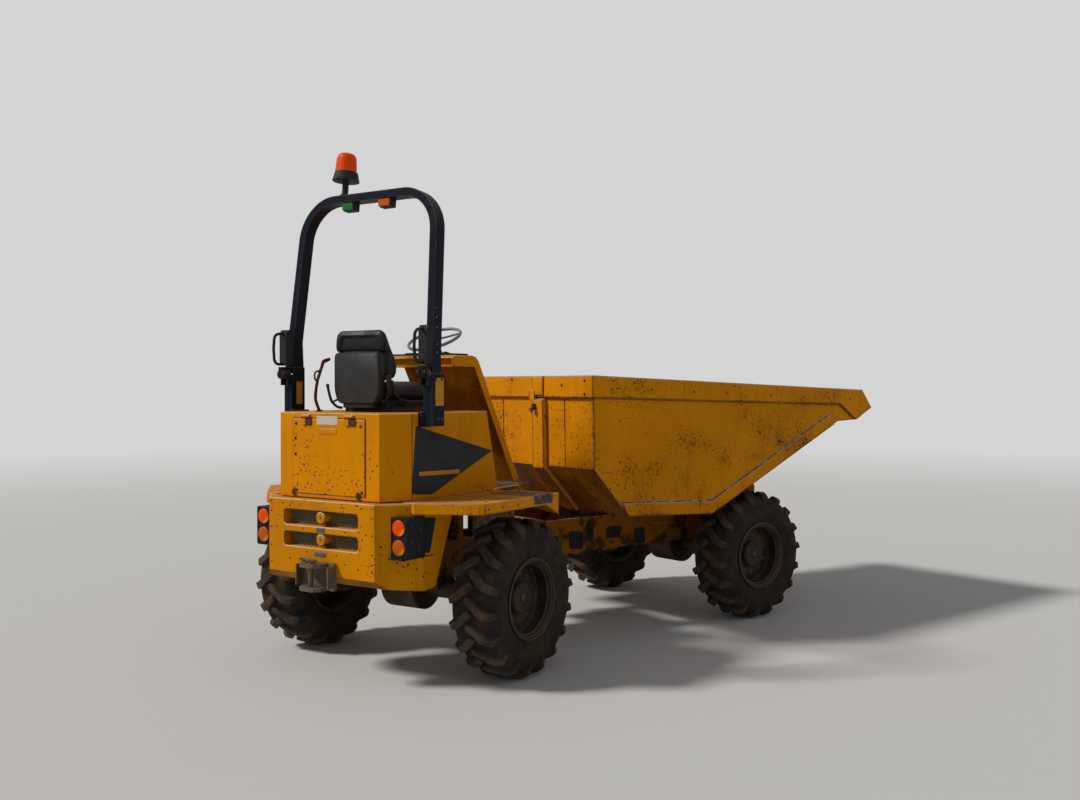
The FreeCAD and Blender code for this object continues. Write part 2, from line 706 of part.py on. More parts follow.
cowl_body = xz(cowl_side, -console_half, console_half)
dash = cowl_body.common(box(console_rear_x + 30, console_front_x + 60, -console_half, console_half,
                            console_top_z - console_dash_h, console_top_z))
add("console", fused([cowl_band(sheet_t, -console_half, console_half), dash,
                      cowl_band(console_depth, -shroud_half, shroud_half),
                      both(cowl_band(console_flange, console_half - sheet_t, console_half))]))
panel = box(console_rear_x + 50, console_front_x - 80, -console_half + 30, console_half - 30,
            console_top_z, console_top_z + panel_t)
add("instrument_panel", panel)
tilt = math.radians(wheel_tilt)
axis = V(-math.sin(tilt), 0, math.cos(tilt))
wheel_c = V(wheel_x, 0, wheel_z)
column_top = wheel_c - axis * (wheel_hub_t / 2.0 + 0.5)
column_l = (wheel_z - console_top_z) / math.cos(tilt) + column_bury
below = box(console_rear_x, console_foot_x, -console_half, console_half,
            deck_top_z, console_top_z - column_bury / 2.0)
column = Part.makeCylinder(column_r, column_l, column_top, axis * -1).cut([cowl_body, panel, below])
add("steering_column", column)
ring = Part.makeTorus(wheel_r - wheel_rim_r, wheel_rim_r, wheel_c, axis)
hub = Part.makeCylinder(wheel_hub_r, wheel_hub_t, wheel_c - axis * (wheel_hub_t / 2.0), axis)
spokes = []
for turn in (0, 120, 240):
    arm = Part.makeBox(wheel_r - wheel_rim_r, 30, 8, V(0, -15, -4))
    arm.rotate(V(0, 0, 0), V(0, 0, 1), turn + 180)
    arm.rotate(V(0, 0, 0), V(0, 1, 0), -wheel_tilt)
    arm.translate(wheel_c)
    spokes.append(arm)
add("steering_wheel", fused([ring, hub] + spokes))
levers = []
for y in (-lever_y - lever_pitch, -lever_y, lever_y):
    levers.append(cyl(seat_front_x - 140, y, bonnet_top_z + 4, V(0.12, 0, 1), lever_r, lever_h).fuse(
        cyl(seat_front_x - 140, y, bonnet_top_z, V(0, 0, 1), knob_r, 14)))
    levers.append(Part.makeSphere(knob_r, V(seat_front_x - 140 + 0.12 * lever_h, y, bonnet_top_z + lever_h)))
# hand lever beside the seat: a bent bar standing on the bonnet, by side view of (x, z)
HAND_LEVER = [(-500, bonnet_top_z), (-535, 1668), (-529, 1735), (-514, 1795), (-480, 1870), (-464, 1906),
              (-414, 1922)]
hand_lever = tube_path([V(x, hand_lever_y, z) for x, z in HAND_LEVER], hand_lever_r, 15)
hand_lever = hand_lever.fuse(cyl(-500, hand_lever_y, bonnet_top_z, V(0, 0, 1), knob_r, 10)).cut(
    box(-560, -440, hand_lever_y - 30, hand_lever_y + 30, bonnet_top_z - 30, bonnet_top_z))
add("levers", Part.makeCompound([levers[i].fuse(levers[i + 1]) for i in (0, 2, 4)] + [hand_lever]))

# Roll frame: upright posts on feet at the bonnet's sides, and a raked hoop that folds to the rear.
# A cheek inside each post stands over the fold, and a wedge in front fills each leg out to the post.
posts = both(box(post_rear_x, post_rear_x + post_t, post_half - post_w, post_half, post_low_z, fold_z))
post_y = post_half - post_w / 2.0
feet = both(fused([
    box(foot_x[0], foot_x[1], bonnet_half, post_half - post_w - 2, foot_low_z, foot_high_z),
    box(post_rear_x, post_rear_x + post_t, bonnet_half, post_half - post_w + 2, foot_low_z,
        foot_high_z - 20)]))
ear_y = [(post_half - post_w, post_half - post_w + fold_ear_t), (post_half - fold_ear_t - 2, post_half - 2)]
low_ears = []
for y0, y1 in ear_y:
    low_ears.append(box(fold_pin_x, post_rear_x + 2, y0, y1, fold_z - 70, fold_z - 5))
    low_ears.append(cyl_y(fold_pin_x, fold_z, fold_ear_r, y0, y1).common(
        box(fold_pin_x - 50, post_rear_x, y0, y1, fold_z - 40, fold_z + 40)))
fold_pin = cyl_y(fold_pin_x, fold_z, fold_pin_r, ear_y[0][0] - 8, ear_y[1][1] + 8)
cheek_y = post_half - post_w
fold_cheek = box(post_rear_x + 8, post_rear_x + post_t - 8, cheek_y - fold_cheek_t, cheek_y,
                 fold_z - fold_cheek_h, fold_z + fold_cheek_h)
add("roll_frame_posts", fused([posts, feet, both(fold_pin), both(fold_cheek)] + [both(e) for e in low_ears]))

# The hoop is drawn upright from the fold line, then raked forwards
rake = math.radians(hoop_rake)
hoop_h = (hoop_top_z - fold_z) / math.cos(rake)
lean = (post_half - hoop_half_high) / hoop_h


def hoop_face(grow, bar_thickness, r):
    # the rounded outline of the hoop as a face across the machine, from the fold line up
    top = hoop_h - bar_thickness
    foot, corner = V(0, post_half - grow, 0), V(0, post_half - lean * top - grow, top)
    down = (foot - corner).normalize()
    inward = V(0, -1, 0)
    half = down.getAngle(inward) / 2.0
    cut = r / math.tan(half)
    mid_dir = (down + inward).normalize()
    centre = corner + mid_dir * (r / math.sin(half))
    a, b, m = corner + down * cut, corner + inward * cut, centre - mid_dir * r
    neg = lambda p: V(0, -p.y, p.z)
    edges = [Part.makeLine(foot, a), Part.Arc(a, m, b).toShape(), Part.makeLine(b, neg(b)),
             Part.Arc(neg(b), neg(m), neg(a)).toShape(), Part.makeLine(neg(a), neg(foot)),
             Part.makeLine(neg(foot), foot)]
    return Part.Face(Part.Wire(edges))


def raked(shape):
    # turns a shape drawn upright on the hoop's rear face forwards and sets it on the fold line
    shape.rotate(V(0, 0, 0), V(0, 1, 0), hoop_rake)
    shape.translate(V(hoop_rear_x, 0, fold_z))
    return shape


outer = hoop_face(0.0, 0.0, hoop_bend_r)
inner = hoop_face(hoop_w, hoop_w, hoop_bend_r - hoop_w)
upper = raked(outer.cut(inner).extrude(V(hoop_t, 0, 0))).common(
    box(hoop_rear_x - 50, hoop_rear_x + 500, -post_half, post_half, fold_z + fold_gap, hoop_top_z + 50))


def hoop_back(z):
    # X of the hoop's rear face at a height
    return hoop_rear_x + (z - fold_z) * math.tan(rake)


mid0, mid1 = ear_y[0][1] + 0.5, ear_y[1][0] - 0.5
knuckle = fused([
    cyl_y(fold_pin_x, fold_z, fold_ear_r, mid0, mid1),
    box(fold_pin_x - fold_ear_r, hoop_rear_x + 8, mid0, mid1, fold_z + fold_gap, fold_z + 46)]).cut(
    cyl_y(fold_pin_x, fold_z, fold_pin_r + run_gap, mid0 - 1, mid1 + 1))
knuckle = knuckle.cut(box(post_rear_x - fold_gap, post_rear_x + post_t, mid0 - 1, mid1 + 1, fold_z - 80,
                          fold_z + fold_gap))
heel = xz([(hoop_rear_x + hoop_t - 20, fold_z + fold_gap), (post_rear_x + post_t, fold_z + fold_gap),
           (hoop_back(heel_top_z) + hoop_t, heel_top_z), (hoop_rear_x + hoop_t - 20, heel_top_z)],
          post_half - hoop_w - 7, post_half - 21)
add("roll_hoop", fused([upper, both(knuckle), both(heel)]))

# A box with a loop handle behind each leg of the hoop
gb_low, gb_high = grab_box_z
grab_box = xz([(grab_box_x, gb_low), (hoop_back(gb_low) - seat_gap, gb_low),
               (hoop_back(gb_high) - seat_gap, gb_high), (grab_box_x + 14, gb_high),
               (grab_box_x, gb_high - 30)], post_half - post_w, post_half - 4)
loop = tube_path([V(grab_box_x + 6, post_y, grab_low_z + 36), V(grab_x, post_y, grab_low_z + 26),
                  V(grab_x - 8, post_y, (grab_low_z + grab_high_z) / 2.0),
                  V(grab_x, post_y, grab_high_z - 42),
                  V(grab_box_x + 6, post_y, grab_high_z - 34)], grab_r, grab_bend_r)
grab = fused([grab_box, loop])
add("grab_handles", Part.makeCompound([grab, mirrored(grab)]))

# Beacon on the bar, and two small lamps under it; each is square to the raked bar
bar_x = hoop_t / 2.0
skirt_z = hoop_h + beacon_stem_h
add("beacon_base", raked(fused([
    cyl(bar_x, beacon_y, hoop_h, V(0, 0, 1), beacon_stem_r, beacon_stem_h),
    cyl(bar_x, beacon_y, hoop_h, V(0, 0, 1), beacon_stem_r + 10, 12),
    Part.makeCone(beacon_skirt_r, beacon_lens_r + 3, beacon_skirt_h, V(bar_x, beacon_y, skirt_z))])))
lens_z = skirt_z + beacon_skirt_h
lens = Part.makeCone(beacon_lens_r, beacon_lens_r - 12, beacon_lens_h, V(bar_x, beacon_y, lens_z))
lens = lens.makeFillet(30, [e for e in lens.Edges if e.BoundBox.ZMin > lens_z + beacon_lens_h - 1])
add("beacon_lens", raked(lens))
# columns: lamp, place across the bar
BAR_LAMPS = [("bar_lamp_green", 164.0), ("bar_lamp_amber", -135.0)]
housings = []
for name, y in BAR_LAMPS:
    y0, y1 = y - bar_lamp_w / 2.0, y + bar_lamp_w / 2.0
    z0, z1 = hoop_h - hoop_w - bar_lamp_h, hoop_h - hoop_w
    housings.append(raked(box(bar_x - bar_lamp_x / 2.0, bar_x + bar_lamp_x / 2.0, y0, y1, z0, z1)))
    add(name, raked(box(bar_x - bar_lamp_x / 2.0 - bar_lamp_lens_t, bar_x - bar_lamp_x / 2.0, y0 + 4, y1 - 4,
                        z0 + 4, z1 - 6)))
add("bar_lamp_housings", Part.makeCompound(housings))

# Front module. Its pieces are drawn straight ahead with the pivot at X = 0.
# Front chassis: pivot boss and neck, side plates, belly plate, towers for the skip pivot
boss_low = pivot_low_z + pivot_plate_t + 2
boss_high = pivot_high_z - pivot_plate_t - 2
boss = cyl(0, 0, boss_low, V(0, 0, 1), pivot_eye_r - 5, boss_high - boss_low)
neck = box(0, front_plate_rear_x + 10, -pivot_eye_r + 5, pivot_eye_r - 5, boss_low, boss_high)
neck_bore = cyl(0, 0, boss_low - 1, V(0, 0, 1), pivot_pin_r + run_gap, boss_high - boss_low + 2)
rear_wall = box(front_plate_rear_x, front_plate_rear_x + 25, -front_plate_y, front_plate_y,
                front_plate_low_z - 60, front_plate_top_z)
fp_in = front_plate_y - front_plate_t
tp_x, tp_z = tip_pivot
side_plate = both(xz([(front_plate_rear_x, front_plate_top_z), (front_plate_rear_x, front_plate_low_z - 60),
                      (560, front_plate_low_z), (front_axle_x + 60, front_plate_low_z),
                      (front_axle_x + 120, 657), (front_axle_x + 120, 700),
                      (front_plate_step_x, front_plate_top_z)],
                     fp_in, front_plate_y))
belly = box(front_plate_rear_x + 20, 640, -fp_in - 5, fp_in + 5, front_plate_low_z, front_plate_low_z + 14)
cross_front = box(front_axle_x - 70, front_axle_x + 70, -tower_y - tower_t, tower_y + tower_t,
                  axle_z + diff_r + 6, axle_z + diff_r + 46)
tower = xz([(front_axle_x - 120, front_plate_low_z + 15), (front_axle_x + 190, front_plate_low_z + 15),
            (tp_x + 150, tp_z - 160), (tp_x + 150, tp_z - 105), (tp_x + 40, tp_z - 45),
            (tp_x - 45, tp_z + 40), (tp_x - 140, tp_z - 60), (front_axle_x - 120, 760)],
           tower_y, tower_y + tower_t)
tower = tower.fuse(cyl_y(tp_x, tp_z, tip_ear_r, tower_y, tower_y + tower_t))
cross_tube = cyl_y(tp_x - 60, tp_z - 140, 38, -tower_y - 5, tower_y + 5)
tip_pin = cyl_y(tp_x, tp_z, tip_pin_r, tower_y, tower_y + tower_t + ear_gap + ear_t + 12)
rb_x, rb_z = ram_base
fork_y = ram_eye_half + ram_fork_gap
fork = both(fused([
    cyl_y(rb_x, rb_z, ram_eye_r + 6, fork_y, fork_y + ram_fork_t),
    box(rb_x - 48, rb_x + 48, fork_y, fork_y + ram_fork_t, front_plate_low_z + 14, rb_z)]))
fork_base = box(rb_x - 60, rb_x + 60, -fp_in - 5, fp_in + 5, front_plate_low_z - 14, front_plate_low_z + 14)
ram_pin = cyl_y(rb_x, rb_z, ram_pin_r, -fork_y - ram_fork_t - 6, fork_y + ram_fork_t + 6)
se_x, se_y = steer_eye
steer_ears = []
for z in (steer_z + steer_fork_z, steer_z - steer_fork_z - steer_fork_t):
    steer_ears.append(cyl(se_x, se_y, z, V(0, 0, 1), steer_eye_r + 8, steer_fork_t))
    steer_ears.append(box(se_x, front_plate_rear_x + 5, se_y - 36, se_y + 36, z, z + steer_fork_t))
front_frame = fused([boss, neck, rear_wall, side_plate, belly, cross_front, both(tower), cross_tube,
                     both(tip_pin), fork, fork_base, ram_pin] + steer_ears).cut(neck_bore)
add("front_frame", front_frame, True)
add("rest_pads", both(box(skip_floor_rear[0] + 60, skip_floor_rear[0] + 220, front_plate_y - 50,
                          front_plate_y, front_plate_top_z, front_plate_top_z + pad_h)), True)

# Skip: hollow body with a rim band, a bead along its lower edge and ribs on the rear wall
skip_side = [(skip_rear_x, skip_rim_rear_z), (skip_rear_x + 12, skip_knee_z), skip_floor_rear,
             skip_floor_front, skip_slope_top, skip_lip_low, skip_lip_tip, skip_rim_front]
hull = xz(skip_side, -skip_half, skip_half)
over = 3.0 * band_h
inner_side = inset([(skip_rear_x, skip_rim_rear_z + over), (skip_rear_x + 12, skip_knee_z), skip_floor_rear,
                    skip_floor_front, skip_slope_top, (skip_lip_tip[0], skip_lip_tip[1] - 10),
                    (skip_lip_tip[0] + over, skip_lip_tip[1] + 0.44 * over),
                    (skip_lip_tip[0] + over, skip_rim_rear_z + over)], skip_wall)
room = xz(inner_side, -skip_half + skip_wall, skip_half - skip_wall)
hull = hull.cut(room)
band_side = xz([(skip_rear_x - band_t, skip_rim_rear_z), (skip_rear_x - band_t, skip_rim_rear_z - band_h),
                (band_front_x, skip_rim_front[1] - band_h + 32), skip_lip_low, skip_lip_tip, skip_rim_front],
               skip_half, skip_half + band_t)
rim_fall = (skip_rim_rear_z - skip_rim_front[1]) / (skip_rim_front[0] - skip_rear_x)
in_wall = skip_wall * 0.6
band_rear = xz([(skip_rear_x, skip_rim_rear_z), (skip_rear_x - band_t, skip_rim_rear_z),
                (skip_rear_x - band_t, skip_rim_rear_z - band_h),
                (skip_rear_x + in_wall, skip_rim_rear_z - band_h),
                (skip_rear_x + in_wall, skip_rim_rear_z - in_wall * rim_fall)],
               -skip_half - band_t, skip_half + band_t)
fx, fz = skip_floor_front
sx, sz = skip_slope_top
gx, gz = skip_floor_rear
run = math.hypot(sx - fx, sz - fz)
slope_n = (-(sz - fz) / run, (sx - fx) / run)
up_x, up_z = slope_n[0] * bead_h, slope_n[1] * bead_h
bead_side = xz([(gx, gz), (fx, fz), (sx - 60, sz - 60 * (sz - fz) / (sx - fx)),
                (sx - 60 + up_x, sz - 60 * (sz - fz) / (sx - fx) + up_z), (fx - 10, fz + bead_h),
                (gx - 60, gz + bead_h)], skip_half, skip_half + bead_t)
bead_side = bead_side.common(xz(skip_side, skip_half, skip_half + bead_t))
skin = inset(skip_side, in_wall)
rib = xz([skin[2], skin[1], (skin[0][0], skip_rim_rear_z - band_h),
          (skip_rear_x - rib_t, skip_rim_rear_z - band_h - 20), (skip_rear_x - rib_t + 12, skip_knee_z - 15),
          (gx - 20 - rib_t * 0.7, gz + 25 - rib_t * 0.7)], rib_in_y, rib_in_y + rib_w)
ear_y0 = tower_y + tower_t + ear_gap
ear_foot = [tp_x - 200, tp_x + 120]
slope_z = lambda x: fz + (x - fx) * (sz - fz) / (sx - fx)
ear = xz([(ear_foot[0], slope_z(ear_foot[0]) + 1), (tp_x - tip_ear_r + 5, tp_z - 20), (tp_x, tp_z - tip_ear_r + 2),
          (tp_x + tip_ear_r - 5, tp_z - 20), (ear_foot[1], slope_z(ear_foot[1]) + 1)], ear_y0, ear_y0 + ear_t)
ear = ear.fuse(cyl_y(tp_x, tp_z, tip_ear_r, ear_y0, ear_y0 + ear_t)).cut(
    cyl_y(tp_x, tp_z, tip_pin_r + run_gap, ear_y0 - 1, ear_y0 + ear_t + 1))
re_x, re_z = ram_eye
eye_ear = xz([(re_x - 110, slope_z(re_x - 110) + 1), (re_x - 42, re_z - 10), (re_x, re_z - 42),
              (re_x + 42, re_z - 10), (re_x + 110, slope_z(re_x + 110) + 1)], fork_y, fork_y + ram_fork_t)
eye_ear = eye_ear.fuse(cyl_y(re_x, re_z, ram_eye_r + 4, fork_y, fork_y + ram_fork_t)).fuse(
    cyl_y(re_x, re_z, ram_pin_r, fork_y + ram_fork_t, fork_y + ram_fork_t + 14))
eye_plate = box(skip_rear_x - band_t - 14, skip_rear_x - band_t, -330, -330 + eye_plate_w,
                skip_rim_rear_z - band_h - 25, skip_rim_rear_z - band_h + 50)
skip = fused([hull, both(band_side), band_rear, both(bead_side), both(rib), both(ear), both(eye_ear),
              eye_plate])
add("skip", skip, True)

# Tipping cylinder: barrel on the chassis fork, rod between the skip's ears
ram_dir = V(re_x - rb_x, 0, re_z - rb_z)
ram_l = ram_dir.Length
ram_dir.normalize()
base_c = V(rb_x, 0, rb_z)
barrel = fused([
    cyl_y(rb_x, rb_z, ram_eye_r, -ram_eye_half, ram_eye_half),
    Part.makeCylinder(ram_rod_r, ram_eye_r + 24, base_c, ram_dir),
    Part.makeCylinder(ram_barrel_r, ram_l - 2 * ram_eye_r - 42, base_c + ram_dir * (ram_eye_r + 18), ram_dir)])
barrel = barrel.cut(cyl_y(rb_x, rb_z, ram_pin_r + run_gap, -ram_eye_half - 1, ram_eye_half + 1))
rod_room = Part.makeCylinder(ram_rod_r + run_gap, ram_l, base_c + ram_dir * (ram_eye_r + 20), ram_dir)
add("tip_barrel", barrel.cut(rod_room), True)
rod = fused([
    Part.makeCylinder(ram_rod_r, ram_l - ram_eye_r - 30 - ram_eye_r * 0.5,
                      base_c + ram_dir * (ram_eye_r + 30), ram_dir),
    cyl_y(re_x, re_z, ram_eye_r, -ram_eye_half, ram_eye_half)])
add("tip_rod", rod, True)

# Steering cylinder, drawn at the rest angle between the rear chassis and the front chassis
turn = math.radians(rest_steer)
eye_x = pivot_x + se_x * math.cos(turn) - se_y * math.sin(turn)
eye_y = se_x * math.sin(turn) + se_y * math.cos(turn)
s_dir = V(eye_x - sb_x, eye_y - sb_y, 0)
s_len = s_dir.Length
s_dir.normalize()
s_base = V(sb_x, sb_y, steer_z)
s_barrel_l = 270.0
s_barrel = fused([
    cyl(sb_x, sb_y, steer_z - steer_eye_half, V(0, 0, 1), steer_eye_r, 2 * steer_eye_half),
    Part.makeCylinder(steer_rod_r + 4, steer_eye_r + 24, s_base, s_dir),
    Part.makeCylinder(steer_barrel_r, s_barrel_l, s_base + s_dir * (steer_eye_r + 16), s_dir)])
s_barrel = s_barrel.cut(cyl(sb_x, sb_y, steer_z - 40, V(0, 0, 1), steer_pin_r + run_gap, 80))
s_room = Part.makeCylinder(steer_rod_r + run_gap, s_barrel_l + 10, s_base + s_dir * (steer_eye_r + 34), s_dir)
add("steer_barrel", s_barrel.cut(s_room))
s_start = steer_eye_r + 14 + 205.0
s_rod = fused([
    Part.makeCylinder(steer_rod_r, s_len - s_start - steer_eye_r * 0.5, s_base + s_dir * s_start, s_dir),
    cyl(eye_x, eye_y, steer_z - steer_eye_half, V(0, 0, 1), steer_eye_r, 2 * steer_eye_half)])
add("steer_rod", s_rod)

# Place the machine: the front module turned about the pivot, then everything centred and lifted
far_x = pivot_x + skip_lip_tip[0] * math.cos(turn) + (skip_half + band_t) * math.sin(-turn)
far_y = skip_lip_tip[0] * math.sin(turn) - (skip_half + band_t) * math.cos(turn)
near_y = track_half + half_w
shift = V(-(jaw_rear_x + far_x) / 2.0, -(far_y + near_y) / 2.0, tyre_r - tyre_loaded_r)
os.makedirs("parts", exist_ok=True)
for name, shape in NODES.items():
    if name in FRONT:
        shape.rotate(V(0, 0, 0), V(0, 0, 1), rest_steer)
        shape.translate(V(pivot_x, 0, 0))
    shape.translate(shift)
    shape.exportStep("parts/" + name + ".step")
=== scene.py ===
import json
import math
import random

import bmesh
import bpy
from mathutils import Matrix, Vector


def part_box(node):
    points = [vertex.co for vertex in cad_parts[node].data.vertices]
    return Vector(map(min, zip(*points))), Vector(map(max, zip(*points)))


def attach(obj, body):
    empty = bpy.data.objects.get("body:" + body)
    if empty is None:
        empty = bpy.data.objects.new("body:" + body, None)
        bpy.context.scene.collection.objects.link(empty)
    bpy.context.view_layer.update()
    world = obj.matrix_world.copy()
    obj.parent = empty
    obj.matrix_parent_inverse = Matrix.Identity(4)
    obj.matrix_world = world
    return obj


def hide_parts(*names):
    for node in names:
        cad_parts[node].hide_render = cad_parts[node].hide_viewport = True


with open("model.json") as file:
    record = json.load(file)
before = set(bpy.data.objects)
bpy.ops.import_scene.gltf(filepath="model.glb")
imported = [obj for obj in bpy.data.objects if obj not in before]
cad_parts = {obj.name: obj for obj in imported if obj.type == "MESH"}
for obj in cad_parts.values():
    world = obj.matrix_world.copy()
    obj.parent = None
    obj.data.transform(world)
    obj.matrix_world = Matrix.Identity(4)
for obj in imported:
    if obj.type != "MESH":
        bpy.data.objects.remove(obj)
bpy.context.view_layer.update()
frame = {"nodes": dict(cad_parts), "record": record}
random.seed(7)

# Places. All lengths are metres. R gives a point from the rear axle's middle, with heights from the
# road under a loaded tyre, and F gives one along the front module from the articulation pivot.
AXLE_HEIGHT = 0.462
JOINTS = {j["name"]: j for j in frame["record"]["behaviour"]["joints"]}
rear_hubs = [Vector(JOINTS["rear_wheel_%s_spin" % side]["pos_m"]) for side in ("left", "right")]
ORIGIN = (rear_hubs[0] + rear_hubs[1]) / 2.0 - Vector((0, 0, AXLE_HEIGHT))
PIVOT = Vector(JOINTS["steer"]["pos_m"])
FRONT_Y = Vector(JOINTS["front_wheel_left_spin"]["axis"])
FRONT_X = Vector((FRONT_Y.y, -FRONT_Y.x, 0.0))
UP = Vector((0, 0, 1))


def R(x, y, z):
    return ORIGIN + Vector((x, y, z))


def F(x, y, z):
    return Vector((PIVOT.x, PIVOT.y, ORIGIN.z)) + FRONT_X * x + FRONT_Y * y + UP * z


# Camera at the photograph's place and angle
CAMERA_AT = R(-5.532, -4.602, 1.761)
CAMERA_HEADING = math.radians(33.04)
CAMERA_PITCH = math.radians(-0.782)
FOCAL_PX = 1095.25
IMAGE_WIDTH_PX = 1080.0
SENSOR = 36.0
camera_data = bpy.data.cameras.new("photo_camera")
camera = bpy.data.objects.new("photo_camera", camera_data)
bpy.context.scene.collection.objects.link(camera)
camera_data.sensor_width = SENSOR
camera_data.lens = SENSOR * FOCAL_PX / IMAGE_WIDTH_PX
camera_data.clip_end = 200.0
aim = Vector((math.cos(CAMERA_HEADING) * math.cos(CAMERA_PITCH),
              math.sin(CAMERA_HEADING) * math.cos(CAMERA_PITCH), math.sin(CAMERA_PITCH)))
camera.rotation_euler = aim.to_track_quat("-Z", "Y").to_euler()
camera.location = CAMERA_AT
bpy.context.scene.camera = camera


# Node trees: one Shader lays out one material
class Shader:
    def __init__(self, name, tree=None):
        if tree:
            self.tree = tree
            self.tree.nodes.clear()
            return
        self.mat = bpy.data.materials.new(name)
        self.mat.use_nodes = True
        self.tree = self.mat.node_tree
        self.tree.nodes.clear()
        self.out = self.node("ShaderNodeOutputMaterial")
        self.bsdf = self.node("ShaderNodeBsdfPrincipled")
        self.tree.links.new(self.bsdf.outputs["BSDF"], self.out.inputs["Surface"])
        self.place = self.node("ShaderNodeTexCoord").outputs["Object"]
        self.geometry = self.node("ShaderNodeNewGeometry")
        self.normal = self.geometry.outputs["Normal"]

    def node(self, kind, values=(), **props):
        made = self.tree.nodes.new(kind)
        for key, value in props.items():
            setattr(made, key, value)
        for key, value in dict(values).items():
            self.feed(made.inputs[key], value)
        return made

    def feed(self, socket, value):
        if isinstance(value, bpy.types.NodeSocket):
            self.tree.links.new(value, socket)
        else:
            socket.default_value = value

    def calc(self, op, *values):
        return self.node("ShaderNodeMath", enumerate(values), operation=op).outputs[0]

    def times(self, a, b):
        return self.calc("MULTIPLY", a, b)

    def plus(self, a, b):
        return self.calc("ADD", a, b)

    def most(self, first, *others):
        for other in others:
            first = self.calc("MAXIMUM", first, other)
        return first

    def vector(self, op, out, *values):
        return self.node("ShaderNodeVectorMath", enumerate(values), operation=op).outputs[out]

    def dot(self, a, b):
        return self.vector("DOT_PRODUCT", "Value", a, b)

    def z_of(self, value):
        return self.node("ShaderNodeSeparateXYZ", {0: value}).outputs[2]

    def noise(self, scale, detail=3.0, rough=0.55, stretch=None):
        place = self.vector("MULTIPLY", 0, self.place, stretch) if stretch else self.place
        return self.node("ShaderNodeTexNoise", {
            "Vector": place, "Scale": scale, "Detail": detail, "Roughness": rough}).outputs["Fac"]

    def step(self, value, low, high):
        return self.node("ShaderNodeMapRange", {0: value, 1: low, 2: high, 3: 0.0, 4: 1.0},
            interpolation_type="SMOOTHSTEP", clamp=True).outputs[0]

    def mix(self, fac, a, b):
        return self.node("ShaderNodeMix", {0: fac, 6: rgba(a), 7: rgba(b)}, data_type="RGBA").outputs[2]

    def over(self, base, colour, fac, share=1.0):
        # the colour laid over the base where fac says, by the share at most
        return self.mix(self.times(fac, share), base, colour)

    def blend(self, fac, a, b):
        return self.node("ShaderNodeMix", {0: fac, 2: a, 3: b}, data_type="FLOAT").outputs[0]

    def edges(self, radius):
        # how far the surface bends within the radius: 0 on a flat, towards 1 on a sharp edge
        self.soft = self.node("ShaderNodeBevel", {"Radius": radius}, samples=4).outputs["Normal"]
        return self.calc("SUBTRACT", 1.0, self.dot(self.soft, self.normal))

    def spots(self, scale, biggest, density, power=3.0):
        # round chips of random size, more of them where density is high
        cells = self.node("ShaderNodeTexVoronoi", {"Vector": self.place, "Scale": scale})
        red = self.node("ShaderNodeSeparateColor", {0: cells.outputs["Color"]}).outputs[0]
        radius = self.times(self.times(self.calc("POWER", red, power), biggest), density)
        return self.step(self.calc("SUBTRACT", radius, cells.outputs["Distance"]), -0.02, 0.03)

    def bump(self, height, distance):
        made = self.node("ShaderNodeBump", {"Height": height, "Distance": distance, "Strength": 1.0})
        self.feed(self.bsdf.inputs["Normal"], made.outputs[0])

    def finish(self, colour, rough, metallic=0.0, specular=0.5, **sockets):
        sockets.update(Base_Color=rgba(colour), Roughness=rough, Metallic=metallic,
            Specular_IOR_Level=specular)
        for key, value in sockets.items():
            self.feed(self.bsdf.inputs[key.replace("_", " ")], value)
        return self.mat


def rgba(value):
    if isinstance(value, bpy.types.NodeSocket) or len(value) == 4:
        return value
    return (*value, 1.0)


def srgb(r, g, b):
    # a colour seen on screen, 0 to 255, as the linear value a shader wants
    return tuple((c / 12.92 if c <= 0.04045 else ((c + 0.055) / 1.055) ** 2.4)
        for c in (r / 255.0, g / 255.0, b / 255.0))


def shade(colour, k):
    return tuple(c * k for c in colour)


YELLOW = srgb(218, 139, 0)
# a darker copy of the yellow, as painted shade
YELLOW_SHADED = srgb(150, 92, 2)
RUST = srgb(104, 54, 26)
BARE_STEEL = srgb(54, 50, 54)
# pale colour for painted highlights
PALE_HIGHLIGHT = srgb(240, 222, 184)
DUST = srgb(150, 118, 84)
MUD = srgb(112, 82, 54)
SOIL = srgb(84, 58, 38)
FRAME_BLACK = srgb(20, 29, 41)
PLASTIC_BLACK = srgb(22, 25, 30)
VINYL_BLACK = srgb(20, 23, 28)
RUBBER = srgb(34, 33, 32)
RIM_BROWN = srgb(36, 34, 33)
JAW_BROWN = srgb(112, 96, 80)
DARK_STEEL = srgb(50, 45, 40)


